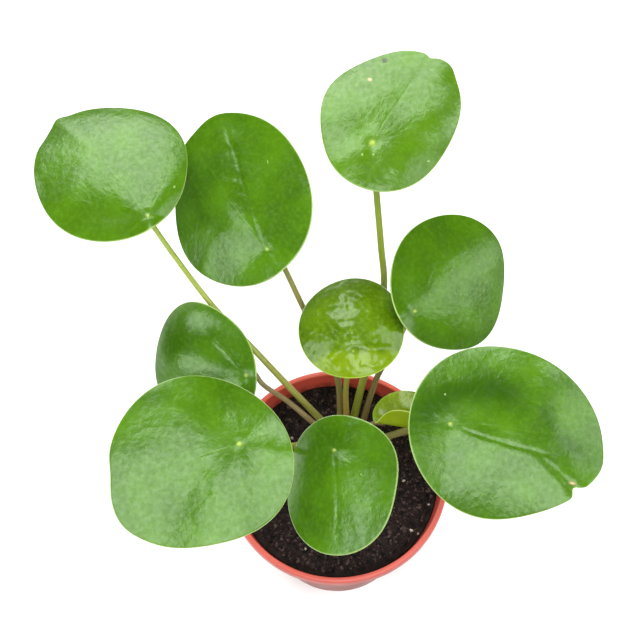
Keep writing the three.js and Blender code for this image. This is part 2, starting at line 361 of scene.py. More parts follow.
def new_growth_tree(
    name: str, inputs: dict[str, tuple[str, object]]
) -> tuple[bpy.types.NodeTree, bpy.types.Node]:
    """Starts a Geometry Nodes tree with named inputs.

    Args:
        name: the tree's name.
        inputs: for each input after the geometry, its socket type and its default.

    Returns:
        The tree and its input node.
    """
    tree = bpy.data.node_groups.new(name, "GeometryNodeTree")
    tree.interface.new_socket(name="Geometry", in_out="INPUT", socket_type="NodeSocketGeometry")
    for label, (kind, default) in inputs.items():
        socket = tree.interface.new_socket(name=label, in_out="INPUT", socket_type=kind)
        if default is not None:
            socket.default_value = default
    tree.interface.new_socket(name="Geometry", in_out="OUTPUT", socket_type="NodeSocketGeometry")
    return tree, add_node(tree, "NodeGroupInput")


def close_growth_tree(
    tree: bpy.types.NodeTree, geometry: bpy.types.NodeSocket, material: bpy.types.NodeSocket
) -> None:
    """Ends a Geometry Nodes tree in real meshes that wear a material.

    Args:
        tree: the tree.
        geometry: the socket of what was grown.
        material: the socket of the material.
    """
    real = add_node(tree, "GeometryNodeRealizeInstances", None, {"Geometry": geometry})
    worn_and_painted_light = add_node(
        tree, "GeometryNodeSetMaterial", None, {"Geometry": real.outputs[0], "Material": material}
    )
    add_node(tree, "NodeGroupOutput", None, {0: worn_and_painted_light.outputs[0]})


def settle(piece: bpy.types.Object, slot: Slot, *nodes: str) -> None:
    """Hands a finished piece to the frame.

    Args:
        piece: the piece.
        slot: not used.
        nodes: the CAD nodes that it stands for.
    """
    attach(piece, BODY)
    if nodes:
        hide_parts(*nodes)
    stands = ", ".join(nodes) or "no node"
    LOG.info("%s: %d faces, stands for %s", piece.name, len(piece.data.polygons), stands)


# ---------------------------------------------------------------- finishes


@dataclass(frozen=True)
class MouldedPolypropylene:
    """Terracotta-coloured polypropylene, injection moulded: a soft satin gloss with a faint spark-eroded
    grain, painted light on the top of the lip and the inner wall and more on the far side, painted shade
    darker and duller below the lip on the outer wall, and dusty with compost inside."""

    plastic: str = "#9a3224"
    # A paler plastic, spread in random patches, and painted on the top of the lip and the inner wall as
    # painted light.
    pale_tone_and_painted_top_light: str = "#bd5045"
    # The paler colour of the painted light on the far side of the pot.
    painted_far_light: str = "#dd5846"
    dust: str = "#4a2a22"
    # The darker colour of the painted shade on the outer wall below the lip.
    stain_and_painted_shade: str = "#74281e"
    roughness: tuple[float, float] = (0.34, 0.5)
    # The eroded grain of a real pot is about 0.05 mm wide. It is drawn ten times coarser, so that it shows.
    grain_size: float = 0.5
    grain_depth: float = 0.012

    def build(self) -> bpy.types.Material:
        """Builds the material.

        Returns:
            The material.
        """
        material, tree = new_material("terracotta_polypropylene_moulded")
        where = add_node(tree, PLACE).outputs["Object"]
        cloud = add_node(tree, NOISE, None, patches(where, 14, 3)).outputs["Fac"]
        share = add_node(tree, RANGE, None, {0: cloud, 1: 0.35, 2: 0.7, 3: 0, 4: 0.35}).outputs[0]
        inputs = {0: share, 6: linear(self.plastic), 7: linear(self.pale_tone_and_painted_top_light)}
        base = add_node(tree, MIX, RGBA, inputs).outputs[2]
        for name, colour in (("pale_tone_and_painted_top_light", self.pale_tone_and_painted_top_light), ("painted_far_light", self.painted_far_light)):
            share = add_node(tree, CARRIED, {"attribute_name": name}).outputs["Fac"]
            base = add_node(tree, MIX, RGBA, {0: share, 6: base, 7: linear(colour)}).outputs[2]
        dusty = add_node(tree, CARRIED, {"attribute_name": "dusty"}).outputs["Fac"]
        specks = add_node(tree, NOISE, None, patches(where, 1.6, 4)).outputs["Fac"]
        specks = add_node(tree, RANGE, None, {0: specks, 1: 0.42, 2: 0.62}).outputs[0]
        share = add_node(tree, "ShaderNodeMath", {"operation": "MULTIPLY"}, {0: dusty, 1: specks}).outputs[0]
        base = add_node(tree, MIX, RGBA, {0: share, 6: base, 7: linear(self.dust)}).outputs[2]
        painted_wall_shade = add_node(tree, CARRIED, {"attribute_name": "painted_wall_shade"}).outputs["Fac"]
        base = add_node(tree, MIX, RGBA, {0: painted_wall_shade, 6: base, 7: linear(self.stain_and_painted_shade)}).outputs[2]
        # Where the painted shade lies it is also duller, down to two fifths of the clean plastic's gloss:
        # painted shade in the gloss too.
        gloss = add_node(tree, RANGE, None, {0: painted_wall_shade, 1: 0, 2: 0.8, 3: 0.5, 4: 0.2}).outputs[0]
        smears = add_node(tree, NOISE, None, patches(where, 6, 3)).outputs["Fac"]
        fine = add_node(tree, NOISE, None, patches(where, self.grain_size, 2)).outputs["Fac"]
        inputs = {
            "Base Color": base,
            "Roughness": add_node(tree, RANGE, None, between(smears, self.roughness)).outputs[0],
            "IOR": 1.49,
            "Specular IOR Level": gloss,
            "Normal": add_node(tree, BUMP, None, pressed_in(fine, self.grain_depth)).outputs["Normal"],
        }
        close_shader(tree, inputs)
        return material


@dataclass(frozen=True)
class PeatCompost:
    """Moist peat compost, loose: a nearly black brown that soaks up light, with reddish and grey crumbs."""

    dark: str = "#050303"
    brown: str = "#261a18"
    grey: str = "#4c3c39"
    roughness: tuple[float, float] = (0.72, 0.95)
    fibre_size: float = 1.6
    crumb_depth: float = 0.15

    def build(self) -> bpy.types.Material:
        """Builds the material.

        Returns:
            The material.
        """
        material, tree = new_material("peat_compost_loose")
        where = add_node(tree, PLACE).outputs["Object"]
        share = add_node(tree, NOISE, None, patches(where, self.fibre_size, 4)).outputs["Fac"]
        share = add_node(tree, RANGE, None, {0: share, 1: 0.35, 2: 0.68}).outputs[0]
        inputs = {0: share, 6: linear(self.dark), 7: linear(self.brown)}
        base = add_node(tree, MIX, RGBA, inputs).outputs[2]
        shade = add_node(tree, CARRIED, {"attribute_name": "shade"}).outputs["Fac"]
        for low, high, most, colour in ((0.4, 0.7, 0.8, self.brown), (0.72, 0.95, 0.95, self.grey)):
            share = add_node(tree, RANGE, None, {0: shade, 1: low, 2: high, 3: 0, 4: most}).outputs[0]
            base = add_node(tree, MIX, RGBA, {0: share, 6: base, 7: linear(colour)}).outputs[2]
        damp = add_node(tree, NOISE, None, patches(where, 3, 2)).outputs["Fac"]
        crumbs = add_node(tree, NOISE, None, patches(where, 0.5, 3)).outputs["Fac"]
        inputs = {
            "Base Color": base,
            "Roughness": add_node(tree, RANGE, None, between(damp, self.roughness)).outputs[0],
            "Specular IOR Level": 0.2,
            "Normal": add_node(tree, BUMP, None, pressed_in(crumbs, self.crumb_depth)).outputs["Normal"],
        }
        close_shader(tree, inputs)
        return material


@dataclass(frozen=True)
class ExpandedPerlite:
    """Perlite, a volcanic glass popped by heat: chalky off-white grains, pitted and stained by wet peat."""

    chalk: str = "#a89e92"
    stain_and_painted_shade: str = "#5e5048"
    roughness: tuple[float, float] = (0.7, 0.9)
    # The bubbles of real perlite are about 0.1 mm wide. They are drawn coarser, so that they show.
    pit_size: float = 0.25
    pit_depth: float = 0.08

    def build(self) -> bpy.types.Material:
        """Builds the material.

        Returns:
            The material.
        """
        material, tree = new_material("perlite_expanded")
        where = add_node(tree, PLACE).outputs["Object"]
        stains = add_node(tree, NOISE, None, patches(where, 0.8, 3)).outputs["Fac"]
        stains = add_node(tree, RANGE, None, {0: stains, 1: 0.42, 2: 0.7}).outputs[0]
        inputs = {0: stains, 6: linear(self.chalk), 7: linear(self.stain_and_painted_shade)}
        base = add_node(tree, MIX, RGBA, inputs).outputs[2]
        pits = add_node(tree, NOISE, None, patches(where, self.pit_size, 2)).outputs["Fac"]
        inputs = {
            "Base Color": base,
            "Roughness": add_node(tree, RANGE, None, between(stains, self.roughness, 0, 1)).outputs[0],
            "Normal": add_node(tree, BUMP, None, pressed_in(pits, self.pit_depth)).outputs["Normal"],
        }
        close_shader(tree, inputs)
        return material


@dataclass(frozen=True)
class CorkyBark:
    """The stem's bark, corked over as it aged: dull brown with paler ridges and dark leaf scars."""

    cork: str = "#5b4630"
    ridge: str = "#8b7450"
    scar: str = "#2f2118"
    roughness: tuple[float, float] = (0.7, 0.9)
    ridge_size: float = 1.1
    crack_depth: float = 0.12

    def build(self) -> bpy.types.Material:
        """Builds the material.

        Returns:
            The material.
        """
        material, tree = new_material("stem_bark_corked")
        where = add_node(tree, PLACE).outputs["Object"]
        share = add_node(tree, NOISE, None, patches(where, self.ridge_size, 4)).outputs["Fac"]
        share = add_node(tree, RANGE, None, {0: share, 1: 0.35, 2: 0.65}).outputs[0]
        inputs = {0: share, 6: linear(self.cork), 7: linear(self.ridge)}
        base = add_node(tree, MIX, RGBA, inputs).outputs[2]
        share = add_node(tree, CARRIED, {"attribute_name": "scar"}).outputs["Fac"]
        base = add_node(tree, MIX, RGBA, {0: share, 6: base, 7: linear(self.scar)}).outputs[2]
        worn_and_painted_light = add_node(tree, NOISE, None, patches(where, 2, 2)).outputs["Fac"]
        cracks = add_node(tree, NOISE, None, patches(where, 0.5, 3)).outputs["Fac"]
        inputs = {
            "Base Color": base,
            "Roughness": add_node(tree, RANGE, None, between(worn_and_painted_light, self.roughness)).outputs[0],
            "Normal": add_node(tree, BUMP, None, pressed_in(cracks, self.crack_depth)).outputs["Normal"],
        }
        close_shader(tree, inputs)
        return material


@dataclass(frozen=True)
class LeafCuticle:
    """The waxy upper skin of a fleshy leaf, as it grew: a broad soft sheen over deep green, broken by a fine
    leathery grain, with darker parts painted in as painted shade, a pale dot over the stalk, fine veins and a
    thin yellow-green rim."""

    name: str = "leaf_cuticle_waxy"
    deep: str = "#315603"
    fresh: str = "#416b03"
    # The darker green of the painted shade.
    painted_leaf_shade: str = "#1b3f00"
    vein: str = "#5c8a1c"
    rim: str = "#98b262"
    dot: str = "#a3b84c"
    scale: str = "#97ae66"
    dry: str = "#c9a183"
    rotten: str = "#1f170a"
    base: str = "#6d9413"
    roughness: tuple[float, float] = (0.2, 0.27)
    bloom: tuple[float, float] = (0.5, 0.86)
    tint: str = "#e7ffdd"
    # The leaf's cells are about 0.05 mm wide and its leathery grain 0.3 mm. Both are drawn coarser, so that
    # they show.
    cell_size: float = 0.9
    grain_size: float = 1.1
    grain_depth: float = 0.13
    pucker_depth: float = 0.055
    coat: float = 0.0
    coat_roughness: float = 0.2

    def build(self) -> bpy.types.Material:
        """Builds the material.

        Returns:
            The material.
        """
        material, tree = new_material(self.name)
        where = add_node(tree, CARRIED, {"attribute_name": "blade"}).outputs["Vector"]
        rays = add_node(tree, CARRIED, {"attribute_name": "rays"}).outputs["Vector"]
        mottle = add_node(tree, NOISE, None, patches(where, 9, 4)).outputs["Fac"]
        mottle = add_node(tree, RANGE, None, {0: mottle, 1: 0.36, 2: 0.66}).outputs[0]
        inputs = {0: mottle, 6: linear(self.deep), 7: linear(self.fresh)}
        base = add_node(tree, MIX, RGBA, inputs).outputs[2]
        cells = add_node(tree, NOISE, None, patches(where, self.cell_size, 3)).outputs["Fac"]
        cells = add_node(tree, RANGE, None, {0: cells, 1: 0.45, 2: 0.8, 3: 0, 4: 0.3}).outputs[0]
        base = add_node(tree, MIX, RGBA, {0: cells, 6: base, 7: linear(self.vein)}).outputs[2]
        layers = {
            "painted_leaf_shade": self.painted_leaf_shade,
            "base": self.base,
            "vein": self.vein,
            "rim": self.rim,
            "dot": self.dot,
            Blemish.SCALE.value: self.scale,
            Blemish.DRY.value: self.dry,
            Blemish.ROTTEN.value: self.rotten,
        }
        for name, colour in layers.items():
            share = add_node(tree, CARRIED, {"attribute_name": name}).outputs["Fac"]
            base = add_node(tree, MIX, RGBA, {0: share, 6: base, 7: linear(colour)}).outputs[2]
        wear = add_node(tree, NOISE, None, patches(where, 5, 3)).outputs["Fac"]
        streaks = add_node(tree, NOISE, None, patches(rays, 1.0, 3, 0.4)).outputs["Fac"]
        puckers = add_node(tree, BUMP, None, pressed_in(streaks, self.pucker_depth)).outputs["Normal"]
        leather = add_node(tree, NOISE, None, patches(where, self.grain_size, 4, 0.3)).outputs["Fac"]
        dents = dict(pressed_in(leather, self.grain_depth), Normal=puckers)
        # The wax is thinner on the high spots, so the sheen breaks up with the grain.
        wax = add_node(tree, NOISE, None, patches(where, self.grain_size, 4, 0.5)).outputs["Fac"]
        wax = add_node(tree, RANGE, None, between(wax, self.bloom, 0.34, 0.68)).outputs[0]
        inputs = {
            "Base Color": base,
            "Roughness": add_node(tree, RANGE, None, between(wear, self.roughness)).outputs[0],
            "IOR": 1.45,
            "Specular IOR Level": wax,
            "Specular Tint": linear(self.tint),
            "Coat Weight": self.coat,
            "Coat Roughness": self.coat_roughness,
            "Normal": add_node(tree, BUMP, None, dents).outputs["Normal"],
        }
        close_shader(tree, inputs)
        return material


@dataclass(frozen=True)
class LeafUnderskin:
    """The lower skin of a fleshy leaf, as it grew: matt pale green with a powdery bloom and raised veins."""

    name: str = "leaf_underskin_matt"
    pale: str = "#6f9a45"
    greyed: str = "#88aa62"
    vein: str = "#a8c47c"
    rim: str = "#a9cf62"
    roughness: tuple[float, float] = (0.55, 0.7)
    # The powder's own grains are far below 0.1 mm. They are drawn coarser, so that they show.
    powder_size: float = 0.6
    powder_depth: float = 0.04

    def build(self) -> bpy.types.Material:
        """Builds the material.

        Returns:
            The material.
        """
        material, tree = new_material(self.name)
        where = add_node(tree, CARRIED, {"attribute_name": "blade"}).outputs["Vector"]
        share = add_node(tree, NOISE, None, patches(where, 4, 4)).outputs["Fac"]
        share = add_node(tree, RANGE, None, {0: share, 1: 0.35, 2: 0.65}).outputs[0]
        inputs = {0: share, 6: linear(self.pale), 7: linear(self.greyed)}
        base = add_node(tree, MIX, RGBA, inputs).outputs[2]
        for name, colour in (("vein", self.vein), ("rim", self.rim)):
            share = add_node(tree, CARRIED, {"attribute_name": name}).outputs["Fac"]
            base = add_node(tree, MIX, RGBA, {0: share, 6: base, 7: linear(colour)}).outputs[2]
        wear = add_node(tree, NOISE, None, patches(where, 5, 2)).outputs["Fac"]
        powder = add_node(tree, NOISE, None, patches(where, self.powder_size, 3)).outputs["Fac"]
        inputs = {
            "Base Color": base,
            "Roughness": add_node(tree, RANGE, None, between(wear, self.roughness)).outputs[0],
            "IOR": 1.45,
            "Normal": add_node(tree, BUMP, None, pressed_in(powder, self.powder_depth)).outputs["Normal"],
        }
        close_shader(tree, inputs)
        return material


@dataclass(frozen=True)
class StalkSkin:
    """The skin of a leaf stalk, as it grew: smooth and faintly glossy, green near the leaf and browner, with
    thin streaks along it, towards the foot."""

    name: str
    foot: str
    tip: str
    streak: str = "#7a5a34"
    turn: tuple[float, float] = (0.15, 0.8)
    roughness: tuple[float, float] = (0.38, 0.52)
    # The ribs of a real stalk are about 0.2 mm apart. They are drawn coarser, so that they show.
    rib_size: float = 0.5
    rib_depth: float = 0.03

    def build(self) -> bpy.types.Material:
        """Builds the material.

        Returns:
            The material.
        """
        material, tree = new_material(f"stalk_skin_{self.name}")
        where = add_node(tree, PLACE).outputs["Object"]
        along = add_node(tree, CARRIED, {"attribute_name": "along"}).outputs["Fac"]
        share = add_node(tree, RANGE, None, {0: along, 1: self.turn[0], 2: self.turn[1]}).outputs[0]
        inputs = {0: share, 6: linear(self.foot), 7: linear(self.tip)}
        base = add_node(tree, MIX, RGBA, inputs).outputs[2]
        flecks = add_node(tree, NOISE, None, patches(where, 0.9, 4, 0.5)).outputs["Fac"]
        flecks = add_node(tree, RANGE, None, {0: flecks, 1: 0.52, 2: 0.74, 3: 0, 4: 0.45}).outputs[0]
        base = add_node(tree, MIX, RGBA, {0: flecks, 6: base, 7: linear(self.streak)}).outputs[2]
        wear = add_node(tree, NOISE, None, patches(where, 2, 2)).outputs["Fac"]
        ribs = add_node(tree, NOISE, None, patches(where, self.rib_size, 2)).outputs["Fac"]
        inputs = {
            "Base Color": base,
            "Roughness": add_node(tree, RANGE, None, between(wear, self.roughness)).outputs[0],
            "IOR": 1.45,
            "Normal": add_node(tree, BUMP, None, pressed_in(ribs, self.rib_depth)).outputs["Normal"],
        }
        close_shader(tree, inputs)
        return material


@dataclass(frozen=True)
class StudioPaper:
    """The studio's pale paper sweep, uncoated: flat and matt, with a barely visible fibre cloud."""

    paper: str = "#f4f4f3"
    cloud: str = "#eeeeed"
    cloud_size: float = 60.0
    roughness: float = 0.9

    def build(self) -> bpy.types.Material:
        """Builds the material.

        Returns:
            The material.
        """
        material, tree = new_material("studio_paper_uncoated")
        where = add_node(tree, PLACE).outputs["Object"]
        share = add_node(tree, NOISE, None, patches(where, self.cloud_size, 3)).outputs["Fac"]
        inputs = {0: share, 6: linear(self.paper), 7: linear(self.cloud)}
        base = add_node(tree, MIX, RGBA, inputs).outputs[2]
        close_shader(tree, {"Base Color": base, "Roughness": self.roughness})
        return material


# ---------------------------------------------------------------- pot


@dataclass
class NurseryPot:
    """The pot: a thin tapered wall with a rolled lip, a foot ring, a raised base and six drain holes."""

    height: float = 86.0
    rim_radius: float = 51.0
    rim_bore: float = 48.4
    lip_depth: float = 6.0
    wall: float = 1.3
    foot_radius: float = 35.5
    shoulder_radius: float = 48.9
    foot_ring: float = 4.5
    pad_radius: float = 12.0
    recess: float = 1.2
    floor: float = 3.0
    drain_holes: int = 6
    drain_radius: float = 3.6
    drain_circle: float = 22.0
    # How strong the painted shade below the lip, the painted light on the lip and the painted light on the
    # far side are.
    painted_wall_shade: float = 0.85
    pale_tone_and_painted_top_light: float = 0.9
    painted_far_light_share: float = 0.85
    painted_far_light_side: tuple[float, float] = (-5.0, 38.0)
    dusty: float = 0.7
    spokes: int = 240
    finish: MouldedPolypropylene = field(default_factory=MouldedPolypropylene)

    def outline(self) -> list[tuple[float, float, float]]:
        """The wall's outline from the middle of the base, out, up and back in.

        Returns:
            Radius, height and how rounded each corner is, in millimetres.
        """
        rim, lip = self.height, self.height - self.lip_depth
        inner_foot = self.foot_radius - self.wall
        return [
            (0, 0, 0),
            (self.pad_radius, 0, 0.4),
            (self.pad_radius + 1, self.recess, 0.4),
            (self.foot_radius - self.foot_ring - 1, self.recess, 0.4),
            (self.foot_radius - self.foot_ring, 0, 0.4),
            (self.foot_radius - 0.2, 0, 0.8),
            (self.shoulder_radius, lip, 0.35),
            (self.rim_radius - 0.1, lip, 0.45),
            (self.rim_radius, rim - 0.4, 1.1),
            (self.rim_radius - 1.3, rim, 0.6),
            (self.rim_bore + 0.1, rim - 0.1, 0.7),
            (self.shoulder_radius - self.wall, lip, 1.2),
            (inner_foot, self.floor, 1.2),
            (0, self.floor, 0),
        ]

    def rounded(self) -> np.ndarray:
        """The outline with its corners rounded and its long stretches divided.

        Returns:
            Radius and height of each point.
        """
        corners = self.outline()
        points: list[np.ndarray] = [np.array(corners[0][:2], float)]
        for before, corner, after in zip(corners, corners[1:], corners[2:]):
            here, radius = np.array(corner[:2], float), corner[2]
            arms = [np.array(p[:2], float) - here for p in (before, after)]
            reach = [min(radius, 0.45 * np.hypot(*arm)) for arm in arms]
            start, end = (here + arm / np.hypot(*arm) * r for arm, r in zip(arms, reach))
            for t in np.linspace(0, 1, 5):
                points.append((1 - t) ** 2 * start + 2 * t * (1 - t) * here + t**2 * end)
        points.append(np.array(corners[-1][:2], float))
        out = [points[0]]
        for point in points[1:]:
            steps = max(1, math.ceil(np.hypot(*(point - out[-1])) / 6))
            first = out[-1]
            out += [first + (point - first) * (k + 1) / steps for k in range(steps)]
        return np.array(out)

    def build(self) -> bpy.types.Object:
        """Turns the outline round the axis and cuts the drain holes.

        Returns:
            The pot.
        """
        outline = self.rounded()
        angles = np.linspace(0, 2 * math.pi, self.spokes, endpoint=False)
        rings = outline[1:-1]
        points = [(0, 0, outline[0, 1])]
        points += [(r * math.cos(a), r * math.sin(a), z) for r, z in rings for a in angles]
        points.append((0, 0, outline[-1, 1]))
        last, n, faces = len(points) - 1, self.spokes, []
        for j in range(n):
            k = (j + 1) % n
            faces.append((0, 1 + k, 1 + j))
            for i in range(len(rings) - 1):
                low, high = 1 + i * n, 1 + (i + 1) * n
                faces.append((low + j, low + k, high + k, high + j))
            top = 1 + (len(rings) - 1) * n
            faces.append((last, top + j, top + k))
        piece = mesh_object("pot_shell", np.array(points), faces, ())
        self.drill(piece)
        return piece

    def drill(self, piece: bpy.types.Object) -> None:
        """Cuts the drain holes with a boolean whose result is kept.

        Args:
            piece: the turned pot.
        """
        cutter = bmesh.new()
        for i in range(self.drain_holes):
            angle = (i + 0.5) * 2 * math.pi / self.drain_holes
            x, y = (self.drain_circle * f(angle) * MM for f in (math.cos, math.sin))
            bmesh.ops.create_cone(
                cutter,
                cap_ends=True,
                segments=40,
                radius1=self.drain_radius * MM,
                radius2=self.drain_radius * MM,
                depth=0.008,
                matrix=Matrix.Translation((x, y, 0.002)),
            )
        mesh = bpy.data.meshes.new("drill")
        cutter.to_mesh(mesh)
        cutter.free()
        drill = bpy.data.objects.new("drill", mesh)
        bpy.context.scene.collection.objects.link(drill)
        modifier = piece.modifiers.new("drains", "BOOLEAN")
        modifier.operation, modifier.solver, modifier.object = "DIFFERENCE", "EXACT", drill
        depsgraph = bpy.context.evaluated_depsgraph_get()
        cut = bpy.data.meshes.new_from_object(piece.evaluated_get(depsgraph), depsgraph=depsgraph)
        piece.modifiers.clear()
        piece.data = cut
        bpy.data.objects.remove(drill)

    def dress(self, piece: bpy.types.Object) -> None:
        """Gives the pot its plastic, with painted light on the top of the lip and of the inner wall, more
        painted light on the far side, painted shade on the outer wall below the lip, and dust inside.

        Args:
            piece: the pot.
        """
        mesh = piece.data
        mesh.materials.clear()
        mesh.materials.append(self.finish.build())
        mesh.shade_smooth()
        flat = np.zeros(len(mesh.vertices) * 3)
        mesh.vertices.foreach_get("co", flat)
        x, y, z = flat.reshape(-1, 3).T / MM
        lip, rim = self.height - self.lip_depth, self.height
        # How deep a point lies in the wall, from its outer face, which widens evenly up to the lip.
        depth = self.foot_radius + z / lip * (self.shoulder_radius - self.foot_radius) - np.hypot(x, y)
        inside, outside = soft_step(0.4, 1.0, depth), 1 - soft_step(0.2, 1.0, depth)
        # Painted light on the top of the inner wall, just under the lip.
        worn_and_painted_light = inside * soft_step(lip - 3.5, lip - 1, z)
        # Painted shade: the outer wall below the lip is painted darker.
        carry(piece, "painted_wall_shade", outside * (1 - soft_step(lip - 3, lip + 0.3, z)) * self.painted_wall_shade)
        # Painted light: the top of the lip and the top of the inner wall are painted paler.
        carry(piece, "pale_tone_and_painted_top_light", np.maximum(soft_step(rim - 1.8, rim, z) * self.pale_tone_and_painted_top_light, worn_and_painted_light))
        # The far side of the pot, at the lip and above it, is painted paler: painted light.
        carry(piece, "painted_far_light", soft_step(*self.painted_far_light_side, y) * soft_step(lip - 3, lip, z) * self.painted_far_light_share)
        carry(piece, "dusty", inside * (1 - soft_step(lip - 3.5, lip + 1, z)) * self.dusty)

    def make(self) -> None:
        """Makes the pot and hands it over."""
        piece = self.build()
        self.dress(piece)
        settle(piece, Slot.POT, "pot")


# ---------------------------------------------------------------- compost


@dataclass
class Compost:
    """The compost: a lumpy fill with a hole for the stem, loose crumbs on it and a few perlite grains."""

    pot: NurseryPot
    top: float = 76.5
    lump: float = 0.9
    fit: float = 0.3
    stem_hole: float = 6.5
    stem_root: float = 26.0
    stem_at: tuple[float, float] = (6.6, 14.5)
    spokes: int = 260
    rings: int = 84
    crumbs: int = 9500
    crumb_size: tuple[float, float] = (0.4, 1.0)
    crumb_sunk: float = 0.1
    lumps: int = 700
    lump_size: tuple[float, float] = (0.7, 1.6)
    lump_sunk: float = 0.4
    corner_noise: float = 900.0
    corner_nudge: float = 0.9
    tint_seed: int = 77
    perlite: tuple[tuple[float, float, float], ...] = (
        (-20.5, 20.6, 1.0),
        (33.0, -26.0, 1.1),
        (36.0, -27.6, 0.6),
        (-15.5, -33.0, 0.7),
        (27.0, 9.5, 0.9),
        (31.0, -2.5, 0.9),
        (42.0, -14.0, 0.6),
    )
    seed: int = 11

    def radius_at(self, z: float) -> float:
        """The radius of the fill at a height, just inside the wall.

        Args:
            z: the height in millimetres.

        Returns:
            The radius in millimetres.
        """
        share = (z - self.pot.floor) / (self.pot.height - self.pot.lip_depth - self.pot.floor)
        inner = self.pot.foot_radius + (self.pot.shoulder_radius - self.pot.foot_radius) * share
        return inner - self.pot.wall - self.fit - 0.15

    def height_at(self, x: np.ndarray, y: np.ndarray) -> np.ndarray:
        """The height of the surface: the CAD model's swell with finer lumps on it.

        Args:
            x: across, in millimetres.
            y: away from the camera, in millimetres.

        Returns:
            Heights in millimetres.
        """
        swell = np.sin(0.09 * x + 1) + np.cos(0.11 * y - 0.4)
        slow = np.sin(0.31 * x + 0.17 * y) * np.cos(0.27 * y - 0.13 * x + 2)
        clods = 0.5 * rough_field(x / 2.6, y / 2.6, self.seed)
        fine = 0.3 * rough_field(x / 1.3, y / 1.3, self.seed + 1)
        return self.top + self.lump * (0.35 * swell + 0.65 * slow) + (clods + fine)

    def surface(self) -> tuple[np.ndarray, list[tuple[int, ...]]]:
        """The open top face, in rings from the stem's hole to the wall.

        Returns:
            Its points and faces.
        """
        angles = np.linspace(0, 2 * math.pi, self.spokes, endpoint=False)
        turn = np.stack([np.cos(angles), np.sin(angles)], 1)
        hole = np.array(self.stem_at) + self.stem_hole * turn
        wall = self.radius_at(self.top) * turn
        shares = np.linspace(0, 1, self.rings)[:, None, None]
        flat = (hole * (1 - shares) + wall * shares).reshape(-1, 2)
        z = self.height_at(flat[:, 0], flat[:, 1])
        points = np.column_stack([flat, z])
        n = self.spokes
        faces = [
            (i * n + j, (i + 1) * n + j, (i + 1) * n + (j + 1) % n, i * n + (j + 1) % n)
            for i in range(self.rings - 1)
            for j in range(n)
        ]
        return points, faces

    def fill(self, material: bpy.types.Material) -> bpy.types.Object:
        """The whole fill, closed at its side, its base and the stem's hole.

        Args:
            material: the compost's material.

        Returns:
            The fill.
        """
        points, faces = self.surface()
        n, rim = self.spokes, (self.rings - 1) * self.spokes
        angles = np.linspace(0, 2 * math.pi, n, endpoint=False)
        low, deep = self.pot.floor + self.fit, self.top - self.stem_root
        turn = np.stack([np.cos(angles), np.sin(angles)], 1)
        base = np.column_stack([self.radius_at(low) * turn, np.full(n, low)])
        shaft = np.column_stack([np.array(self.stem_at) + self.stem_hole * turn, np.full(n, deep)])
        first = len(points)
        middles = np.array([[0, 0, low], [*self.stem_at, deep]])
        points = np.vstack([points, base, shaft, middles])
        for j in range(n):
            k = (j + 1) % n
            faces.append((rim + j, first + j, first + k, rim + k))
            faces.append((first + 2 * n, first + k, first + j))
            faces.append((j, k, first + n + k, first + n + j))
            faces.append((first + 2 * n + 1, first + n + j, first + n + k))
        piece = mesh_object("compost_fill", points, faces, (material,))
        carry(piece, "shade", np.full(len(points), 0.3))
        return piece

    def crumb_tree(self) -> bpy.types.NodeTree:
        """Builds the tree that strews angular crumbs over a surface.

        Returns:
            The tree.
        """
        tree, start = new_growth_tree(
            "compost_crumbs",
            {
                "Density": ("NodeSocketFloat", 1.0),
                "Smallest": ("NodeSocketFloat", 0.0003),
                "Largest": ("NodeSocketFloat", 0.0009),
                "Subdivisions": ("NodeSocketInt", 1),
                "Sunk": ("NodeSocketFloat", 0.0),
                "Seed": ("NodeSocketInt", 1),
                "Material": ("NodeSocketMaterial", None),
            },
        )
        seed = start.outputs["Seed"]
        strewn = add_node(
            tree,
            "GeometryNodeDistributePointsOnFaces",
            None,
            {"Mesh": start.outputs["Geometry"], "Density": start.outputs["Density"], "Seed": seed},
        )
        # Squaring a random share makes small crumbs common and large ones rare.
        luck = add_node(tree, "FunctionNodeRandomValue", {"data_type": "FLOAT"}, {"Seed": seed})
        rare = add_node(tree, "ShaderNodeMath", {"operation": "POWER"}, {0: luck.outputs[1], 1: 2.0})
        inputs = {0: rare.outputs[0], 3: start.outputs["Smallest"], 4: start.outputs["Largest"]}
        size = add_node(tree, RANGE, None, inputs)
        squat = add_node(
            tree,
            "FunctionNodeRandomValue",
            {"data_type": "FLOAT_VECTOR"},
            {0: (0.6, 0.6, 0.5), 1: (1.35, 1.35, 1.05), "Seed": seed},
        )
        scale = add_node(
            tree, "ShaderNodeVectorMath", {"operation": "SCALE"}, {0: squat.outputs[0], 3: size.outputs[0]}
        )
        turn = add_node(
            tree,
            "FunctionNodeRandomValue",
            {"data_type": "FLOAT_VECTOR"},
            {0: (0.0,) * 3, 1: (FULL_TURN,) * 3, "Seed": seed},
        )
        inputs = {"Radius": 1.0, "Subdivisions": start.outputs["Subdivisions"]}
        crumb = add_node(tree, "GeometryNodeMeshIcoSphere", None, inputs)
        laid = add_node(
            tree,
            "GeometryNodeInstanceOnPoints",
            None,
            {
                "Points": strewn.outputs["Points"],
                "Instance": crumb.outputs["Mesh"],
                "Rotation": turn.outputs[0],
                "Scale": scale.outputs[0],
            },
        )
        tint = add_node(tree, "FunctionNodeRandomValue", {"data_type": "FLOAT"}, {"Seed": self.tint_seed})
        tinted = add_node(
            tree,
            "GeometryNodeStoreNamedAttribute",
            {"domain": "INSTANCE", "data_type": "FLOAT"},
            {"Geometry": laid.outputs[0], "Name": "shade", "Value": tint.outputs[1]},
        )
        real = add_node(tree, "GeometryNodeRealizeInstances", None, {"Geometry": tinted.outputs[0]})
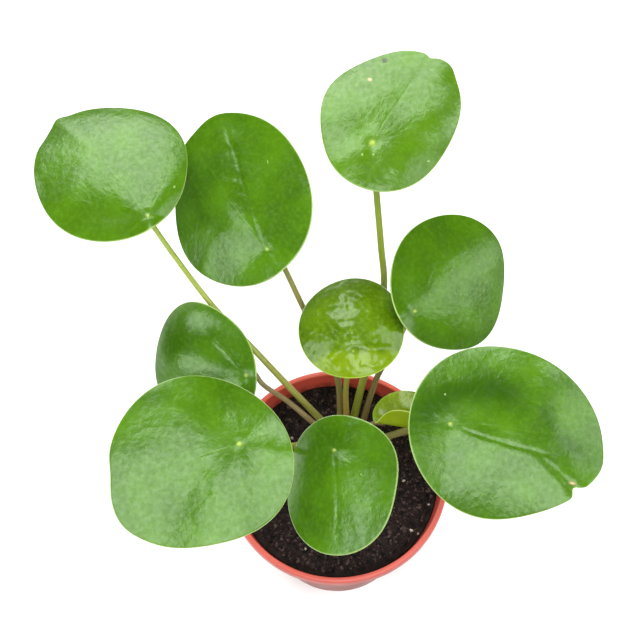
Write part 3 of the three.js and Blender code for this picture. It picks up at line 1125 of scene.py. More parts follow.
        # A noise that moves the corners makes the crumbs angular, each in its own way.
        spot = add_node(tree, "GeometryNodeInputPosition")
        inputs = {"Vector": spot.outputs[0], "Scale": self.corner_noise, "Detail": 1.0}
        rough = add_node(tree, NOISE, None, inputs)
        offset, grey = rough.outputs["Color"], (0.5, 0.5, 0.5)
        down = add_node(tree, "ShaderNodeCombineXYZ", None, {"Z": start.outputs["Sunk"]})
        for operation, inputs in (
            ("SUBTRACT", {1: grey}),
            ("SCALE", {3: self.corner_nudge * MM}),
            ("SUBTRACT", {1: down.outputs[0]}),
        ):
            step = add_node(tree, "ShaderNodeVectorMath", {"operation": operation}, {0: offset, **inputs})
            offset = step.outputs[0]
        moved = add_node(
            tree, "GeometryNodeSetPosition", None, {"Geometry": real.outputs[0], "Offset": offset}
        )
        close_growth_tree(tree, moved.outputs[0], start.outputs["Material"])
        return tree

    def strew(self, name: str, tree: bpy.types.NodeTree, values: dict[str, object]) -> bpy.types.Object:
        """Strews crumbs of one size over the open surface, clear of the wall and the stem.

        Args:
            name: the piece's name.
            tree: the crumb tree.
            values: the tree's inputs.

        Returns:
            The crumbs.
        """
        points, faces = self.surface()
        n = self.spokes
        inner, outer = 5 * n, (self.rings - 4) * n
        kept = [f for f in faces if min(f) >= inner and max(f) < outer]
        mesh = bpy.data.meshes.new(name + "_bed")
        mesh.from_pydata((points * MM).tolist(), [], kept)
        return grown(name, tree, mesh, values)

    def grains(self, material: bpy.types.Material) -> bpy.types.Object:
        """The perlite grains, each a dented ball of a few dozen faces, half sunk in the compost.

        Args:
            material: the perlite.

        Returns:
            The grains.
        """
        rng = np.random.default_rng(self.seed)
        shape = bmesh.new()
        for x, y, size in self.perlite:
            z = float(self.height_at(np.array([x]), np.array([y]))[0]) + 0.35 * size
            place_at = Matrix.Translation(Vector((x, y, z)) * MM)
            turn = Euler(rng.uniform(0, 6.28, 3)).to_matrix().to_4x4()
            squash = Matrix.Diagonal((*(rng.uniform(0.7, 1.2, 3) * size * MM), 1))
            pose = place_at @ turn @ squash
            made = bmesh.ops.create_icosphere(shape, subdivisions=2, radius=1.0, matrix=pose)
            for vertex in made["verts"]:
                middle = place_at.to_translation()
                vertex.co = middle + (vertex.co - middle) * float(rng.uniform(0.82, 1.12))
        mesh = bpy.data.meshes.new("perlite_grains")
        shape.to_mesh(mesh)
        shape.free()
        mesh.materials.append(material)
        piece = bpy.data.objects.new("perlite_grains", mesh)
        bpy.context.scene.collection.objects.link(piece)
        return piece

    def make(self) -> None:
        """Makes the fill, its crumbs and its grains, and hands them over."""
        peat = PeatCompost().build()
        settle(self.fill(peat), Slot.SOIL, "soil")
        tree = self.crumb_tree()
        area = math.pi * (self.radius_at(self.top) * MM) ** 2
        for name, count, size, sunk, smoothness, seed in (
            ("compost_crumbs", self.crumbs, self.crumb_size, self.crumb_sunk, 1, self.seed),
            ("compost_lumps", self.lumps, self.lump_size, self.lump_sunk, 2, self.seed + 3),
        ):
            values = {
                "Density": count / area,
                "Smallest": size[0] * MM,
                "Largest": size[1] * MM,
                "Subdivisions": smoothness,
                "Sunk": sunk * MM,
                "Seed": seed,
                "Material": peat,
            }
            settle(self.strew(name, tree, values), Slot.SOIL)
        settle(self.grains(ExpandedPerlite().build()), Slot.SOIL)


# ---------------------------------------------------------------- stem


@dataclass
class Stem:
    """The short thick stem, corky and ringed with the scars of old leaves."""

    at: tuple[float, float] = (6.6, 14.5)
    radius: float = 6.2
    low: float = 50.8
    soil: float = 76.5
    top: float = 97.0
    spokes: int = 120
    steps: int = 110
    scars: int = 13
    scar_spacing: float = 1.25
    scar_turn: float = 2.4
    scar_size: tuple[float, float] = (1.7, 0.9)
    scar_depth: float = 0.35
    bark_depth: tuple[float, float] = (0.16, 0.12)
    seed: int = 5

    def outline(self, z: np.ndarray) -> np.ndarray:
        """The stem's radius at each height.

        Args:
            z: heights in millimetres.

        Returns:
            Radii in millimetres.
        """
        low, soil, top = self.low, self.soil, self.top
        heights = [low, low + 1.2, soil + 4, soil + 10, soil + 15, top - 2, top - 0.3, top]
        radii = [r + self.radius for r in (-1.2, -0.1, -0.1, -0.5, -0.4, -1.6, -3.6, -5.4)]
        return np.interp(z, heights, radii)

    def scar_field(self, angle: np.ndarray, z: np.ndarray) -> np.ndarray:
        """Where old leaves fell off, in a spiral up the stem.

        Args:
            angle: round the stem, in radians.
            z: heights in millimetres.

        Returns:
            One in the middle of a scar and zero away from them.
        """
        out, (across, up) = np.zeros_like(angle), self.scar_size
        for i in range(self.scars):
            middle, level = i * self.scar_turn, self.soil + 0.5 + i * self.scar_spacing
            off = (angle - middle + math.pi) % (2 * math.pi) - math.pi
            scar = np.exp(-((off * self.radius / across) ** 2) - ((z - level) / up) ** 2)
            out = np.maximum(out, scar)
        return out

    def make(self) -> None:
        """Makes the stem and hands it over."""
        n = self.spokes
        angles = np.linspace(0, 2 * math.pi, n, endpoint=False)
        shares = np.linspace(0, 1, self.steps)
        z = self.low + (self.top - 0.02 - self.low) * (1 - (1 - shares) ** 1.6)
        around, height = np.meshgrid(angles, z)
        scars = self.scar_field(around, height)
        bark = rough_field(around * 3.2 + 40, height / 3.0, self.seed) * self.bark_depth[0]
        bark += rough_field(height / 0.9, around * 1.5 + 20, self.seed + 1) * self.bark_depth[1]
        # The bark's pattern fades out where its first and last spokes meet, and at the top.
        seam = soft_step(0, 0.6, around) * (1 - soft_step(2 * math.pi - 0.6, 2 * math.pi, around))
        bark *= seam * soft_step(0.0, 3.0, self.top - height)
        r = self.outline(height) + bark - self.scar_depth * scars
        x, y = self.at[0] + r * np.cos(around), self.at[1] + r * np.sin(around)
        points = np.stack([x, y, height], 2).reshape(-1, 3)
        points = np.vstack([points, [[*self.at, self.low], [*self.at, self.top]]])
        count, faces = len(points), []
        for j in range(n):
            k = (j + 1) % n
            faces += [(i * n + j, i * n + k, (i + 1) * n + k, (i + 1) * n + j) for i in range(self.steps - 1)]
            faces.append((count - 2, k, j))
            faces.append((count - 1, (self.steps - 1) * n + j, (self.steps - 1) * n + k))
        piece = mesh_object("stem", points, faces, (CorkyBark().build(),))
        carry(piece, "scar", np.append(scars.ravel(), [0, 0]) * 0.8)
        settle(piece, Slot.TRUNK, "trunk")


# ---------------------------------------------------------------- leaves


@dataclass(frozen=True)
class Crease:
    """A line pressed into a blade: its corners in the blade's own frame, its depth and its half width."""

    line: Line
    depth: float
    width: float


@dataclass(frozen=True)
class PaintedLeafShade:
    """A patch of painted shade on a blade, a darker green: a line through it, how far it reaches and how
    strong it is.
    """

    line: Line
    reach: float
    strength: float


@dataclass(frozen=True)
class Mark:
    """A blemish on a blade: where it is, how wide it is and what it is."""

    x: float
    y: float
    radius: float
    kind: Blemish
    stretch: float = 1.0


@dataclass(frozen=True)
class Stalk:
    """A leaf stalk: its foot's bearing round the stem and its height, the points that it passes, its radii at
    foot and tip, and the colours there."""

    foot: tuple[float, float]
    via: Line3
    radii: tuple[float, float]
    colours: tuple[str, str]
    swells: tuple[float, float] = (0.22, 0.3)
    swell_length: float = 4.0
    foot_gap: float = 0.3
    tip_depth: float = 1.7
    grown_in: tuple[float, float] = (0.9, 1.0)
    sides: int = 20


@dataclass(frozen=True)
class Leaf:
    """One leaf: a blade held by its dot on a stalk, in millimetres and degrees.

    The blade's frame has the dot at zero, x along the midrib and y to its left. Its turn is heading, pitch
    and roll.
    """

    key: str
    dot: tuple[float, float, float]
    turn: tuple[float, float, float]
    size: tuple[float, float]
    inset: float
    fold: float
    dome: float
    wave: tuple[float, int, float]
    lobes: Line3
    bites: Line3
    stalk: Stalk
    taper: float = 0.0
    curl: tuple[float, float] | None = None
    age: Age = Age.GROWN
    creases: tuple[Crease, ...] = ()
    marks: tuple[Mark, ...] = ()
    pleats: Line3 = ()
    bend: tuple[float, float, float] = (0.0, 0.0, 0.0)
    swell: tuple[float, float, float, float] = (0.0, 0.0, 0.0, 0.0)
    unfold: float = 0.0
    crest: float = 0.14
    wrinkle: float = 1.0
    crumple: float = 0.03
    spot: float = 0.65
    tone: float = 0.0
    paler: tuple[float, float, float] = (0.0, 900.0, 901.0)
    painted_leaf_shade: tuple[PaintedLeafShade, ...] = ()
    seed: int = 1
    thickness: float = 1.0
    rim_round: float = 0.55
    rim_band: tuple[float, ...] = (0.9, 0.62, 0.38, 0.2, 0.08, 0.015)
    streak_radius: float = 18.0
    spokes: int = 300
    rings: int = 60
    under_rings: int = 22

    def edge(self, angle: np.ndarray) -> np.ndarray:
        """The outline's distance from the blade's middle.

        Args:
            angle: round the middle, in radians.

        Returns:
            Distances in millimetres.
        """
        length, width = self.size
        out = 1 / np.hypot(2 * np.cos(angle) / length, 2 * np.sin(angle) / width)
        for count, depth, bearing in self.lobes:
            out = out + depth * np.cos(count * (angle - math.radians(bearing)))
        for middle, depth, width_of in self.bites:
            off = (np.degrees(angle) - middle + 180) % 360 - 180
            out = out + depth * np.exp(-((off / width_of) ** 2))
        return out

    def share(self, x: np.ndarray, y: np.ndarray) -> tuple[np.ndarray, np.ndarray]:
        """Where points are between the blade's middle and its edge.

        Args:
            x: along the midrib from the dot.
            y: to its left.

        Returns:
            The share of the way to the edge, and the angle round the middle.
        """
        across = x - (0.5 - self.inset) * self.size[0]
        angle = np.arctan2(y, across)
        for _ in range(6):
            angle = np.arctan2(y / (1 - self.taper * np.cos(angle)), across)
        radius = np.hypot(across, y / (1 - self.taper * np.cos(angle)))
        return radius / self.edge(angle), angle

    def lift(self, q: np.ndarray, y: np.ndarray, angle: np.ndarray) -> np.ndarray:
        """The height of the CAD model's blade: a dome, a fold along the midrib and a wavy edge.

        Args:
            q: the share of the way to the edge.
            y: to the left of the midrib.
            angle: round the middle.

        Returns:
            Heights in millimetres.
        """
        soft = self.crest * self.size[1]
        side = np.maximum(y, 0) if self.curl else y
        fold = math.tan(math.radians(self.fold)) * (np.hypot(side, soft) - soft)
        height, count, phase = self.wave
        return -self.dome * q**2 - fold + height * q**2 * np.sin(count * angle + math.radians(phase))

    def sway(self, x: np.ndarray, y: np.ndarray) -> np.ndarray:
        """How far the grown blade strays from the CAD model's even one: pleats that spread from the dot, a
        bend and a swell of the whole blade, and a flatter fold. They decide where it catches the lights.

        Args:
            x: along the midrib from the dot.
            y: to its left.

        Returns:
            Heights in millimetres.
        """
        half, across = self.size[0] / 2, x - (0.5 - self.inset) * self.size[0]
        angle, reach = np.arctan2(y, x), np.hypot(x, y)
        soft = reach**2 / np.hypot(reach, 3.0)
        out = np.zeros_like(angle)
        for count, slope, at in self.pleats:
            out = out + slope * np.cos(count * (angle - math.radians(at)))
        out = soft * out
        along, twist, over = self.bend
        out = out + (along * across**2 + twist * across * y + over * y**2) / half
        tip, warp, flare, side = self.swell
        out = out + (tip * across**3 + warp * across**2 * y + flare * across * y**2 + side * y**3) / half**2
        crest = self.crest * self.size[1]
        out = out + self.unfold * (np.hypot(y, crest) - crest)
        back = (0.5 - self.inset) * self.size[0]
        return out - along * back**2 / half + tip * back**3 / half**2

    def height(self, x: np.ndarray, y: np.ndarray) -> np.ndarray:
        """The height of the upper face over the dot.

        Args:
            x: along the midrib from the dot.
            y: to its left.

        Returns:
            Heights in millimetres.
        """
        q, angle = self.share(x, y)
        dot = self.lift(np.array(1 - 2 * self.inset), np.array(0.0), np.array(math.pi))
        return self.lift(q, y, angle) - dot

    def stand(self, points: np.ndarray) -> np.ndarray:
        """Rolls up a young blade and puts it in its place.

        Args:
            points: in the blade's frame.

        Returns:
            The points in the CAD frame.
        """
        if self.curl:
            tube, most = self.curl[0], math.radians(self.curl[1])
            x, y, z = points.T
            turned = np.minimum(-y / tube, most)
            straight, reach = -y - turned * tube, tube - z
            rolled_y = -reach * np.sin(turned) - straight * np.cos(turned)
            rolled_z = tube - reach * np.cos(turned) + straight * np.sin(turned)
            points = np.stack([x, np.where(y < 0, rolled_y, y), np.where(y < 0, rolled_z, z)], 1)
        return points @ np.array(self.rotation()).T + np.array(self.dot)

    def rotation(self) -> Matrix:
        """The blade's turn.

        Returns:
            The matrix that turns the blade's frame to the CAD frame.
        """
        heading, pitch, roll = (math.radians(a) for a in self.turn)
        rolled = Matrix.Rotation(pitch, 3, "Y") @ Matrix.Rotation(roll, 3, "X")
        return Matrix.Rotation(heading, 3, "Z") @ rolled

    def veins(self, x: np.ndarray, y: np.ndarray) -> tuple[np.ndarray, np.ndarray]:
        """The veins that spread from the dot.

        Args:
            x: along the midrib from the dot.
            y: to its left.

        Returns:
            How strongly the midrib and the side veins show at each point.
        """
        r, angle = np.hypot(x, y), np.arctan2(y, x)
        reach = self.size[0] * (1 - self.inset)
        sway = 0.5 * np.sin(x / 7 + self.seed)
        fade = soft_step(0.5, 3, r) * (1 - soft_step(0.62 * reach, 0.92 * reach, x))
        midrib = np.exp(-(((y - sway * soft_step(2, 14, x)) / 0.42) ** 2)) * fade * (x > 0)
        side = np.zeros_like(x)
        for i, start in enumerate((-128, -92, -58, -27, 27, 58, 92, 128)):
            bend = math.radians(start) * (1 - 0.22 * np.clip(r / reach, 0, 1)) + 0.05 * np.sin(r / 6 + i)
            off = r * np.sin(angle - bend)
            ahead = np.cos(angle - bend) > 0
            weight = 1.0 if abs(start) == 58 else 0.55
            ends = soft_step(1, 4, r) * (1 - soft_step(0.3 * reach, 0.8 * reach, r))
            side = np.maximum(side, weight * np.exp(-((off / 0.55) ** 2)) * ahead * ends)
        return midrib, side

    def pressed(self, x: np.ndarray, y: np.ndarray) -> np.ndarray:
        """The fine relief on the upper face: the dimple over the stalk, veins, creases and soft wrinkles.

        Args:
            x: along the midrib from the dot.
            y: to its left.

        Returns:
            Heights in millimetres.
        """
        r, angle = np.hypot(x, y), np.arctan2(y, x)
        q, _ = self.share(x, y)
        midrib, side = self.veins(x, y)
        out = -0.45 * np.exp(-((r / 2.2) ** 2)) + 0.25 * np.exp(-((r / 0.75) ** 2))
        out -= 0.03 * midrib + 0.02 * side
        broad = rough_field(x / 11 + 7, y / 11 + 3, self.seed) * 0.13
        medium = rough_field(x / 4.6 + 2, y / 4.6 + 9, self.seed + 20) * 0.06
        around = rough_field(angle * 7 + 30, r / 9 + 5, self.seed + 40) * 0.03 * soft_step(3, 12, r)
        calm = 1 - soft_step(0.9, 1.0, q)
        around *= 1 - soft_step(2.6, 3.1, np.abs(angle))
        out += self.crumple * rough_field(x / 2.1 + 4, y / 2.1 + 6, self.seed + 80) * calm
        out += self.wrinkle * (broad + medium + around) * (0.25 + 0.75 * calm)
        for crease in self.creases:
            off, along = near_line(x, y, crease.line)
            ends = soft_step(0, 0.12, along) * (1 - soft_step(0.85, 1, along))
            out -= crease.depth * np.exp(-((off / crease.width) ** 2)) * ends * calm
        for mark in self.marks:
            away = np.hypot(x - mark.x, y - mark.y)
            if mark.kind is Blemish.SCALE:
                out += 0.15 * np.exp(-((away / mark.radius) ** 2))
            else:
                out -= 0.3 * np.exp(-((away / mark.radius) ** 4))
        return out

    def sheet_rings(self, outline: np.ndarray, rings: int) -> list[tuple[np.ndarray, np.ndarray]]:
        """The rings of points from the dot out, closer at the dot and at the rim.

        Args:
            outline: the outline's points in the blade's frame.
            rings: how many rings there are before the rim.

        Returns:
            For each ring its points and their distance from the outline.
        """
        reach = np.hypot(*outline.T)
        shares = np.linspace(0, 1, rings + 1)[1:]
        shares = 0.25 * shares**2 + 0.75 * shares if rings == self.rings else shares
        out = []
        for share in shares:
            scale = share * (1 - self.rim_band[0] / reach)
            out.append((outline * scale[:, None], reach * (1 - scale)))
        for left in self.rim_band[1:]:
            scale = 1 - left / reach
            out.append((outline * scale[:, None], np.full(len(reach), left)))
        return out

    def sight(self, eye: np.ndarray) -> np.ndarray:
        """The way that the sway moves the blade: along the line of sight, which keeps the photo's outline.

        Args:
            eye: where the camera is, in millimetres.

        Returns:
            A vector that rises by one along the blade's normal.
        """
        away = eye - np.array(self.dot)
        return away / float(away @ np.array(self.rotation() @ Vector((0, 0, 1))))

    def blade(
        self, upper: bpy.types.Material, lower: bpy.types.Material, eye: np.ndarray
    ) -> bpy.types.Object:
        """Makes the blade: two sheets from the dot out, closed by a rounded rim.

        Args:
            upper: the upper skin.
            lower: the lower skin.
            eye: where the camera is, in millimetres.

        Returns:
            The blade.
        """
        n = self.spokes
        angles = np.linspace(0, 2 * math.pi, n, endpoint=False)
        radius = self.edge(angles)
        across = radius * np.cos(angles) + (0.5 - self.inset) * self.size[0]
        outline = np.stack([across, radius * np.sin(angles) * (1 - self.taper * np.cos(angles))], 1)
        flat, left, under, counts = [], [], [], []
        for face, rings in enumerate((self.rings, self.under_rings)):
            made = self.sheet_rings(outline, rings)
            # Each sheet starts from the dot, which is far from the rim: any distance past the rim's rounding.
            flat.append(np.zeros((1, 2)))
            left.append(np.full(1, 9.0))
            under.append(np.full(1, float(face)))
            for ring, off in made:
                flat.append(ring)
                left.append(off)
                under.append(np.full(n, float(face)))
            counts.append(len(made))
        flat.append(outline)
        left.append(np.zeros(n))
        under.append(np.full(n, 0.5))
        xy, off, face = np.vstack(flat), np.concatenate(left), np.concatenate(under)
        x, y = xy.T
        round_off = np.sqrt(np.clip(1 - (1 - np.clip(off / self.rim_round, 0, 1)) ** 2, 0, 1))
        half = self.thickness / 2
        # What is pressed into the upper face stands out a little from the lower one.
        shown = np.where(face < 0.5, 1.0, np.where(face > 0.5, -0.35, 0.3))
        z = self.height(x, y) - half + self.pressed(x, y) * shown * soft_step(0.2, 2.5, off)
        z += np.where(face < 0.5, half, np.where(face > 0.5, -half, 0)) * round_off
        world = self.stand(np.stack([x, y, z], 1)) + self.sway(x, y)[:, None] * self.sight(eye)
        faces, skins = self.blade_faces(counts)
        piece = mesh_object(f"blade_{self.key}", world, faces, (upper, lower))
        piece.data.polygons.foreach_set("material_index", skins)
        self.write_skin(piece, x, y, off)
        return piece

    def blade_faces(self, counts: list[int]) -> tuple[list[tuple[int, ...]], list[int]]:
        """Joins the rings of both sheets and the rim.

        Args:
            counts: how many rings each sheet has.

        Returns:
            The faces, and for each its skin.
        """
        n, faces, skins = self.spokes, [], []
        rim = 2 + n * sum(counts)
        start = 0
        for side, count in enumerate(counts):
            for j in range(n):
                k = (j + 1) % n
                quads = [(start, start + 1 + j, start + 1 + k)]
                for i in range(count - 1):
                    low, high = start + 1 + i * n, start + 1 + (i + 1) * n
                    quads.append((low + j, high + j, high + k, low + k))
                last = start + 1 + (count - 1) * n
                quads.append((last + j, rim + j, rim + k, last + k))
                faces += [q[::-1] if side else q for q in quads]
                skins += [side] * len(quads)
            start += 1 + count * n
        return faces, skins

    def write_skin(self, piece: bpy.types.Object, x: np.ndarray, y: np.ndarray, off: np.ndarray) -> None:
        """Writes what the skins read: the place on the blade, rays from the dot, veins, rim, dot, tone,
        painted shade and marks.

        Args:
            piece: the blade.
            x: along the midrib from the dot.
            y: to its left.
            off: the distance from the outline.
        """
        r, angle = np.hypot(x, y), np.arctan2(y, x)
        midrib, side = self.veins(x, y)
        shift = 97.0 * self.seed
        carry(piece, "blade", np.stack([x + shift, y, 0 * x], 1) * MM)
        # The pattern is read round one circle and slowly outwards, which draws it out along the rays.
        round_dot = self.streak_radius
        rays = np.stack([round_dot * np.cos(angle), round_dot * np.sin(angle), r * 0.35 + shift], 1)
        carry(piece, "rays", rays * MM)
        carry(piece, "vein", np.clip(0.12 * midrib + 0.06 * side, 0, 1))
        carry(piece, "rim", 0.9 * (1 - soft_step(0.1, 0.45, off)))
        carry(piece, "dot", 0.85 * np.exp(-((r / self.spot) ** 2)))
        bearing, low, high = self.paler
        toward = x * math.cos(math.radians(bearing)) + y * math.sin(math.radians(bearing))
        toward = toward + 1.2 * rough_field(x / 4, y / 4, self.seed + 60)
        carry(piece, "base", np.maximum(self.tone, 0.6 * soft_step(low, high, toward)))
        # Painted shade: a darker green painted along the listed lines, where the blade should lie in shade.
        deep = np.zeros_like(x)
        ragged = 1 + 0.25 * rough_field(x / 5, y / 5, self.seed + 100)
        for part in self.painted_leaf_shade:
            away = near_line(x, y, part.line)[0] * ragged
            deep = np.maximum(deep, part.strength * np.exp(-((away / part.reach) ** 2)))
        carry(piece, "painted_leaf_shade", deep)
        for kind in Blemish:
            value = np.zeros_like(x)
            for mark in self.marks:
                if mark.kind is kind:
                    away = np.hypot(x - mark.x, (y - mark.y) / mark.stretch)
                    value = np.maximum(value, 1 - soft_step(0.6, 1.15, away / mark.radius))
            carry(piece, kind.value, value)

    def path(self, stem: Stem, steps: int = 72) -> np.ndarray:
        """The stalk's middle line, a smooth one from the stem to the underside of the dot.

        Args:
            stem: the stem that carries it.
            steps: how many stretches it is drawn in.

        Returns:
            Its points.
        """
        back, tail = (0.5 - self.inset) * self.size[0], np.array(math.pi)
        # The blade's slope at the dot is read a little before it and a little after it.
        shares = [1 - 2 * self.inset + d for d in (-0.06, 0.06)]
        xs = [back - float(self.edge(tail) * share) for share in shares]
        zs = [float(self.lift(np.array(share), np.array(0.0), tail)) for share in shares]
        slope = np.array([xs[0] - xs[1], 0, zs[0] - zs[1]])
        slope /= np.linalg.norm(slope)
        normal = np.array(self.rotation() @ Vector((-slope[2], 0, slope[0])))
        end = np.array(self.dot) - normal * self.stalk.tip_depth
        via = [np.array(p, float) for p in self.stalk.via]
        bearing, height = math.radians(self.stalk.foot[0]), self.stalk.foot[1]
        out = np.array([math.cos(bearing), math.sin(bearing), 0])
        axis = np.array([*stem.at, height])
        rise = (via[0] - axis) / np.linalg.norm(via[0] - axis)
        start = axis + out * (stem.radius + self.stalk.foot_gap + self.stalk.radii[0] * rise[2])
        reach = (end - via[-1]) / np.linalg.norm(end - via[-1])
        # The neck under the dot aims about two thirds along the blade's normal.
        aim = normal * 0.65 + reach * 0.35
        aim /= np.linalg.norm(aim)
        line = self.spline([start, *via, end - aim * NECKS[self.age], end], steps)
        # The skin of the stalk runs into the stem and the leaf, where the solids only meet.
        foot_in, tip_in = self.stalk.grown_in
        ahead = (line[1] - line[0]) / np.linalg.norm(line[1] - line[0])
        return np.vstack([line[0] - (ahead + out) * foot_in, line, end + normal * tip_in])

    @staticmethod
    def spline(corners: list[np.ndarray], steps: int) -> np.ndarray:
        """A smooth line through the corners, whose knots are spaced by the roots of the corners' distances.

        Args:
            corners: the points that it passes.
            steps: how many stretches it is drawn in.

        Returns:
            Its points, about evenly spaced.
        """
        ends = [2 * corners[0] - corners[1], *corners, 2 * corners[-1] - corners[-2]]
        dense = []
        for p0, p1, p2, p3 in zip(ends, ends[1:], ends[2:], ends[3:]):
            spans = [math.sqrt(np.linalg.norm(b - a)) for a, b in ((p0, p1), (p1, p2), (p2, p3))]
            knots = np.cumsum([0.0] + spans)
            for t in np.linspace(knots[1], knots[2], 40, endpoint=False):
                a1 = (p0 * (knots[1] - t) + p1 * (t - knots[0])) / (knots[1] - knots[0])
                a2 = (p1 * (knots[2] - t) + p2 * (t - knots[1])) / (knots[2] - knots[1])
                a3 = (p2 * (knots[3] - t) + p3 * (t - knots[2])) / (knots[3] - knots[2])
                b1 = (a1 * (knots[2] - t) + a2 * (t - knots[0])) / (knots[2] - knots[0])
                b2 = (a2 * (knots[3] - t) + a3 * (t - knots[1])) / (knots[3] - knots[1])
                dense.append((b1 * (knots[2] - t) + b2 * (t - knots[1])) / (knots[2] - knots[1]))
        line = np.array([*dense, corners[-1]])
        walked = np.concatenate([[0], np.cumsum(np.linalg.norm(np.diff(line, axis=0), axis=1))])
        even = np.linspace(0, walked[-1], steps + 1)
        return np.stack([np.interp(even, walked, line[:, k]) for k in range(3)], 1)

    def make(
        self,
        skins: dict[Age, tuple[bpy.types.Material, bpy.types.Material]],
        sweep: bpy.types.NodeTree,
        stem: Stem,
        eye: np.ndarray,
    ) -> None:
        """Makes the blade and its stalk, and hands them over.

        Args:
            skins: the upper and lower skin for each age.
            sweep: the tree that draws a stalk along its path.
            stem: the stem that carries it.
            eye: where the camera is, in millimetres.
        """
        slot = Slot.LEAF if self.age is Age.GROWN else Slot.YOUNG_LEAF
        settle(self.blade(*skins[self.age], eye), slot, f"leaf_{self.key}")
        path = bpy.data.meshes.new(f"path_{self.key}")
        line = self.path(stem) * MM
        path.from_pydata(line.tolist(), [(i, i + 1) for i in range(len(line) - 1)], [])
        values = {
            "Foot Radius": self.stalk.radii[0] * MM,
            "Tip Radius": self.stalk.radii[1] * MM,
            "Foot Swell": self.stalk.swells[0],
            "Tip Swell": self.stalk.swells[1],
            "Swell Length": self.stalk.swell_length * MM,
            "Sides": self.stalk.sides,
            "Material": StalkSkin(self.key, *self.stalk.colours).build(),
        }
        settle(grown(f"petiole_{self.key}", sweep, path, values), Slot.STALK, f"stalk_{self.key}")


def stalk_sweep_tree() -> bpy.types.NodeTree:
    """Builds the tree that draws a round tapering stalk along a path, a little thicker at both ends.

    Returns:
        The tree.
    """
    tree, start = new_growth_tree(
        "stalk_sweep",
        {
            "Foot Radius": ("NodeSocketFloat", 0.002),
            "Tip Radius": ("NodeSocketFloat", 0.001),
            "Foot Swell": ("NodeSocketFloat", 0.2),
            "Tip Swell": ("NodeSocketFloat", 0.3),
            "Swell Length": ("NodeSocketFloat", 0.004),
            "Sides": ("NodeSocketInt", 16),
            "Material": ("NodeSocketMaterial", None),
        },
    )

    line = add_node(tree, "GeometryNodeMeshToCurve", None, {"Mesh": start.outputs["Geometry"]})
    along = add_node(tree, "GeometryNodeSplineParameter")
    total = add_node(tree, "GeometryNodeSplineLength")
    values: dict[str, object] = {
        "share": along.outputs["Factor"],
        "walked": along.outputs["Length"],
        "total": total.outputs["Length"],
        "swell length": start.outputs["Swell Length"],
        "foot swell": start.outputs["Foot Swell"],
        "tip swell": start.outputs["Tip Swell"],
    }
    # Each line is one sum: its result, what is done, and the two values or numbers that it is done to. The
    # girth is a hump at each end over one. The root makes the stalk narrow fast near the stem and slowly
    # after it, as the CAD model's does.
    for result, operation, *operands in (
        ("root", "POWER", "share", 0.5),
        ("left", "SUBTRACT", "total", "walked"),
        ("from foot", "DIVIDE", "walked", "swell length"),
        ("foot square", "MULTIPLY", "from foot", "from foot"),
        ("foot power", "MULTIPLY", "foot square", -1.0),
        ("foot hump", "EXPONENT", "foot power", 0.0),
        ("foot", "MULTIPLY", "foot hump", "foot swell"),
        ("from tip", "DIVIDE", "left", "swell length"),
        ("tip square", "MULTIPLY", "from tip", "from tip"),
        ("tip power", "MULTIPLY", "tip square", -1.0),
        ("tip hump", "EXPONENT", "tip power", 0.0),
        ("tip", "MULTIPLY", "tip hump", "tip swell"),
        ("humps", "ADD", "foot", "tip"),
        ("girth", "ADD", "humps", 1.0),
    ):
        inputs = {i: values.get(operand, operand) for i, operand in enumerate(operands)}
        values[result] = add_node(tree, "ShaderNodeMath", {"operation": operation}, inputs).outputs[0]
    inputs = {0: values["root"], 3: start.outputs["Foot Radius"], 4: start.outputs["Tip Radius"]}
    narrowed = add_node(tree, RANGE, None, inputs)
    inputs = {0: narrowed.outputs[0], 1: values["girth"]}
    girth = add_node(tree, "ShaderNodeMath", {"operation": "MULTIPLY"}, inputs)
    marked = add_node(
        tree,
        "GeometryNodeStoreNamedAttribute",
        {"domain": "POINT", "data_type": "FLOAT"},
        {"Geometry": line.outputs[0], "Name": "along", "Value": values["share"]},
    )
    inputs = {"Resolution": start.outputs["Sides"], "Radius": 1.0}
    ring = add_node(tree, "GeometryNodeCurvePrimitiveCircle", None, inputs)
    inputs = {
        "Curve": marked.outputs[0],
        "Profile Curve": ring.outputs[0],
        "Scale": girth.outputs[0],
        "Fill Caps": True,
    }
    tube = add_node(tree, "GeometryNodeCurveToMesh", None, inputs)
    smooth = add_node(tree, "GeometryNodeSetShadeSmooth", None, {"Geometry": tube.outputs[0]})
    close_growth_tree(tree, smooth.outputs[0], start.outputs["Material"])
    return tree


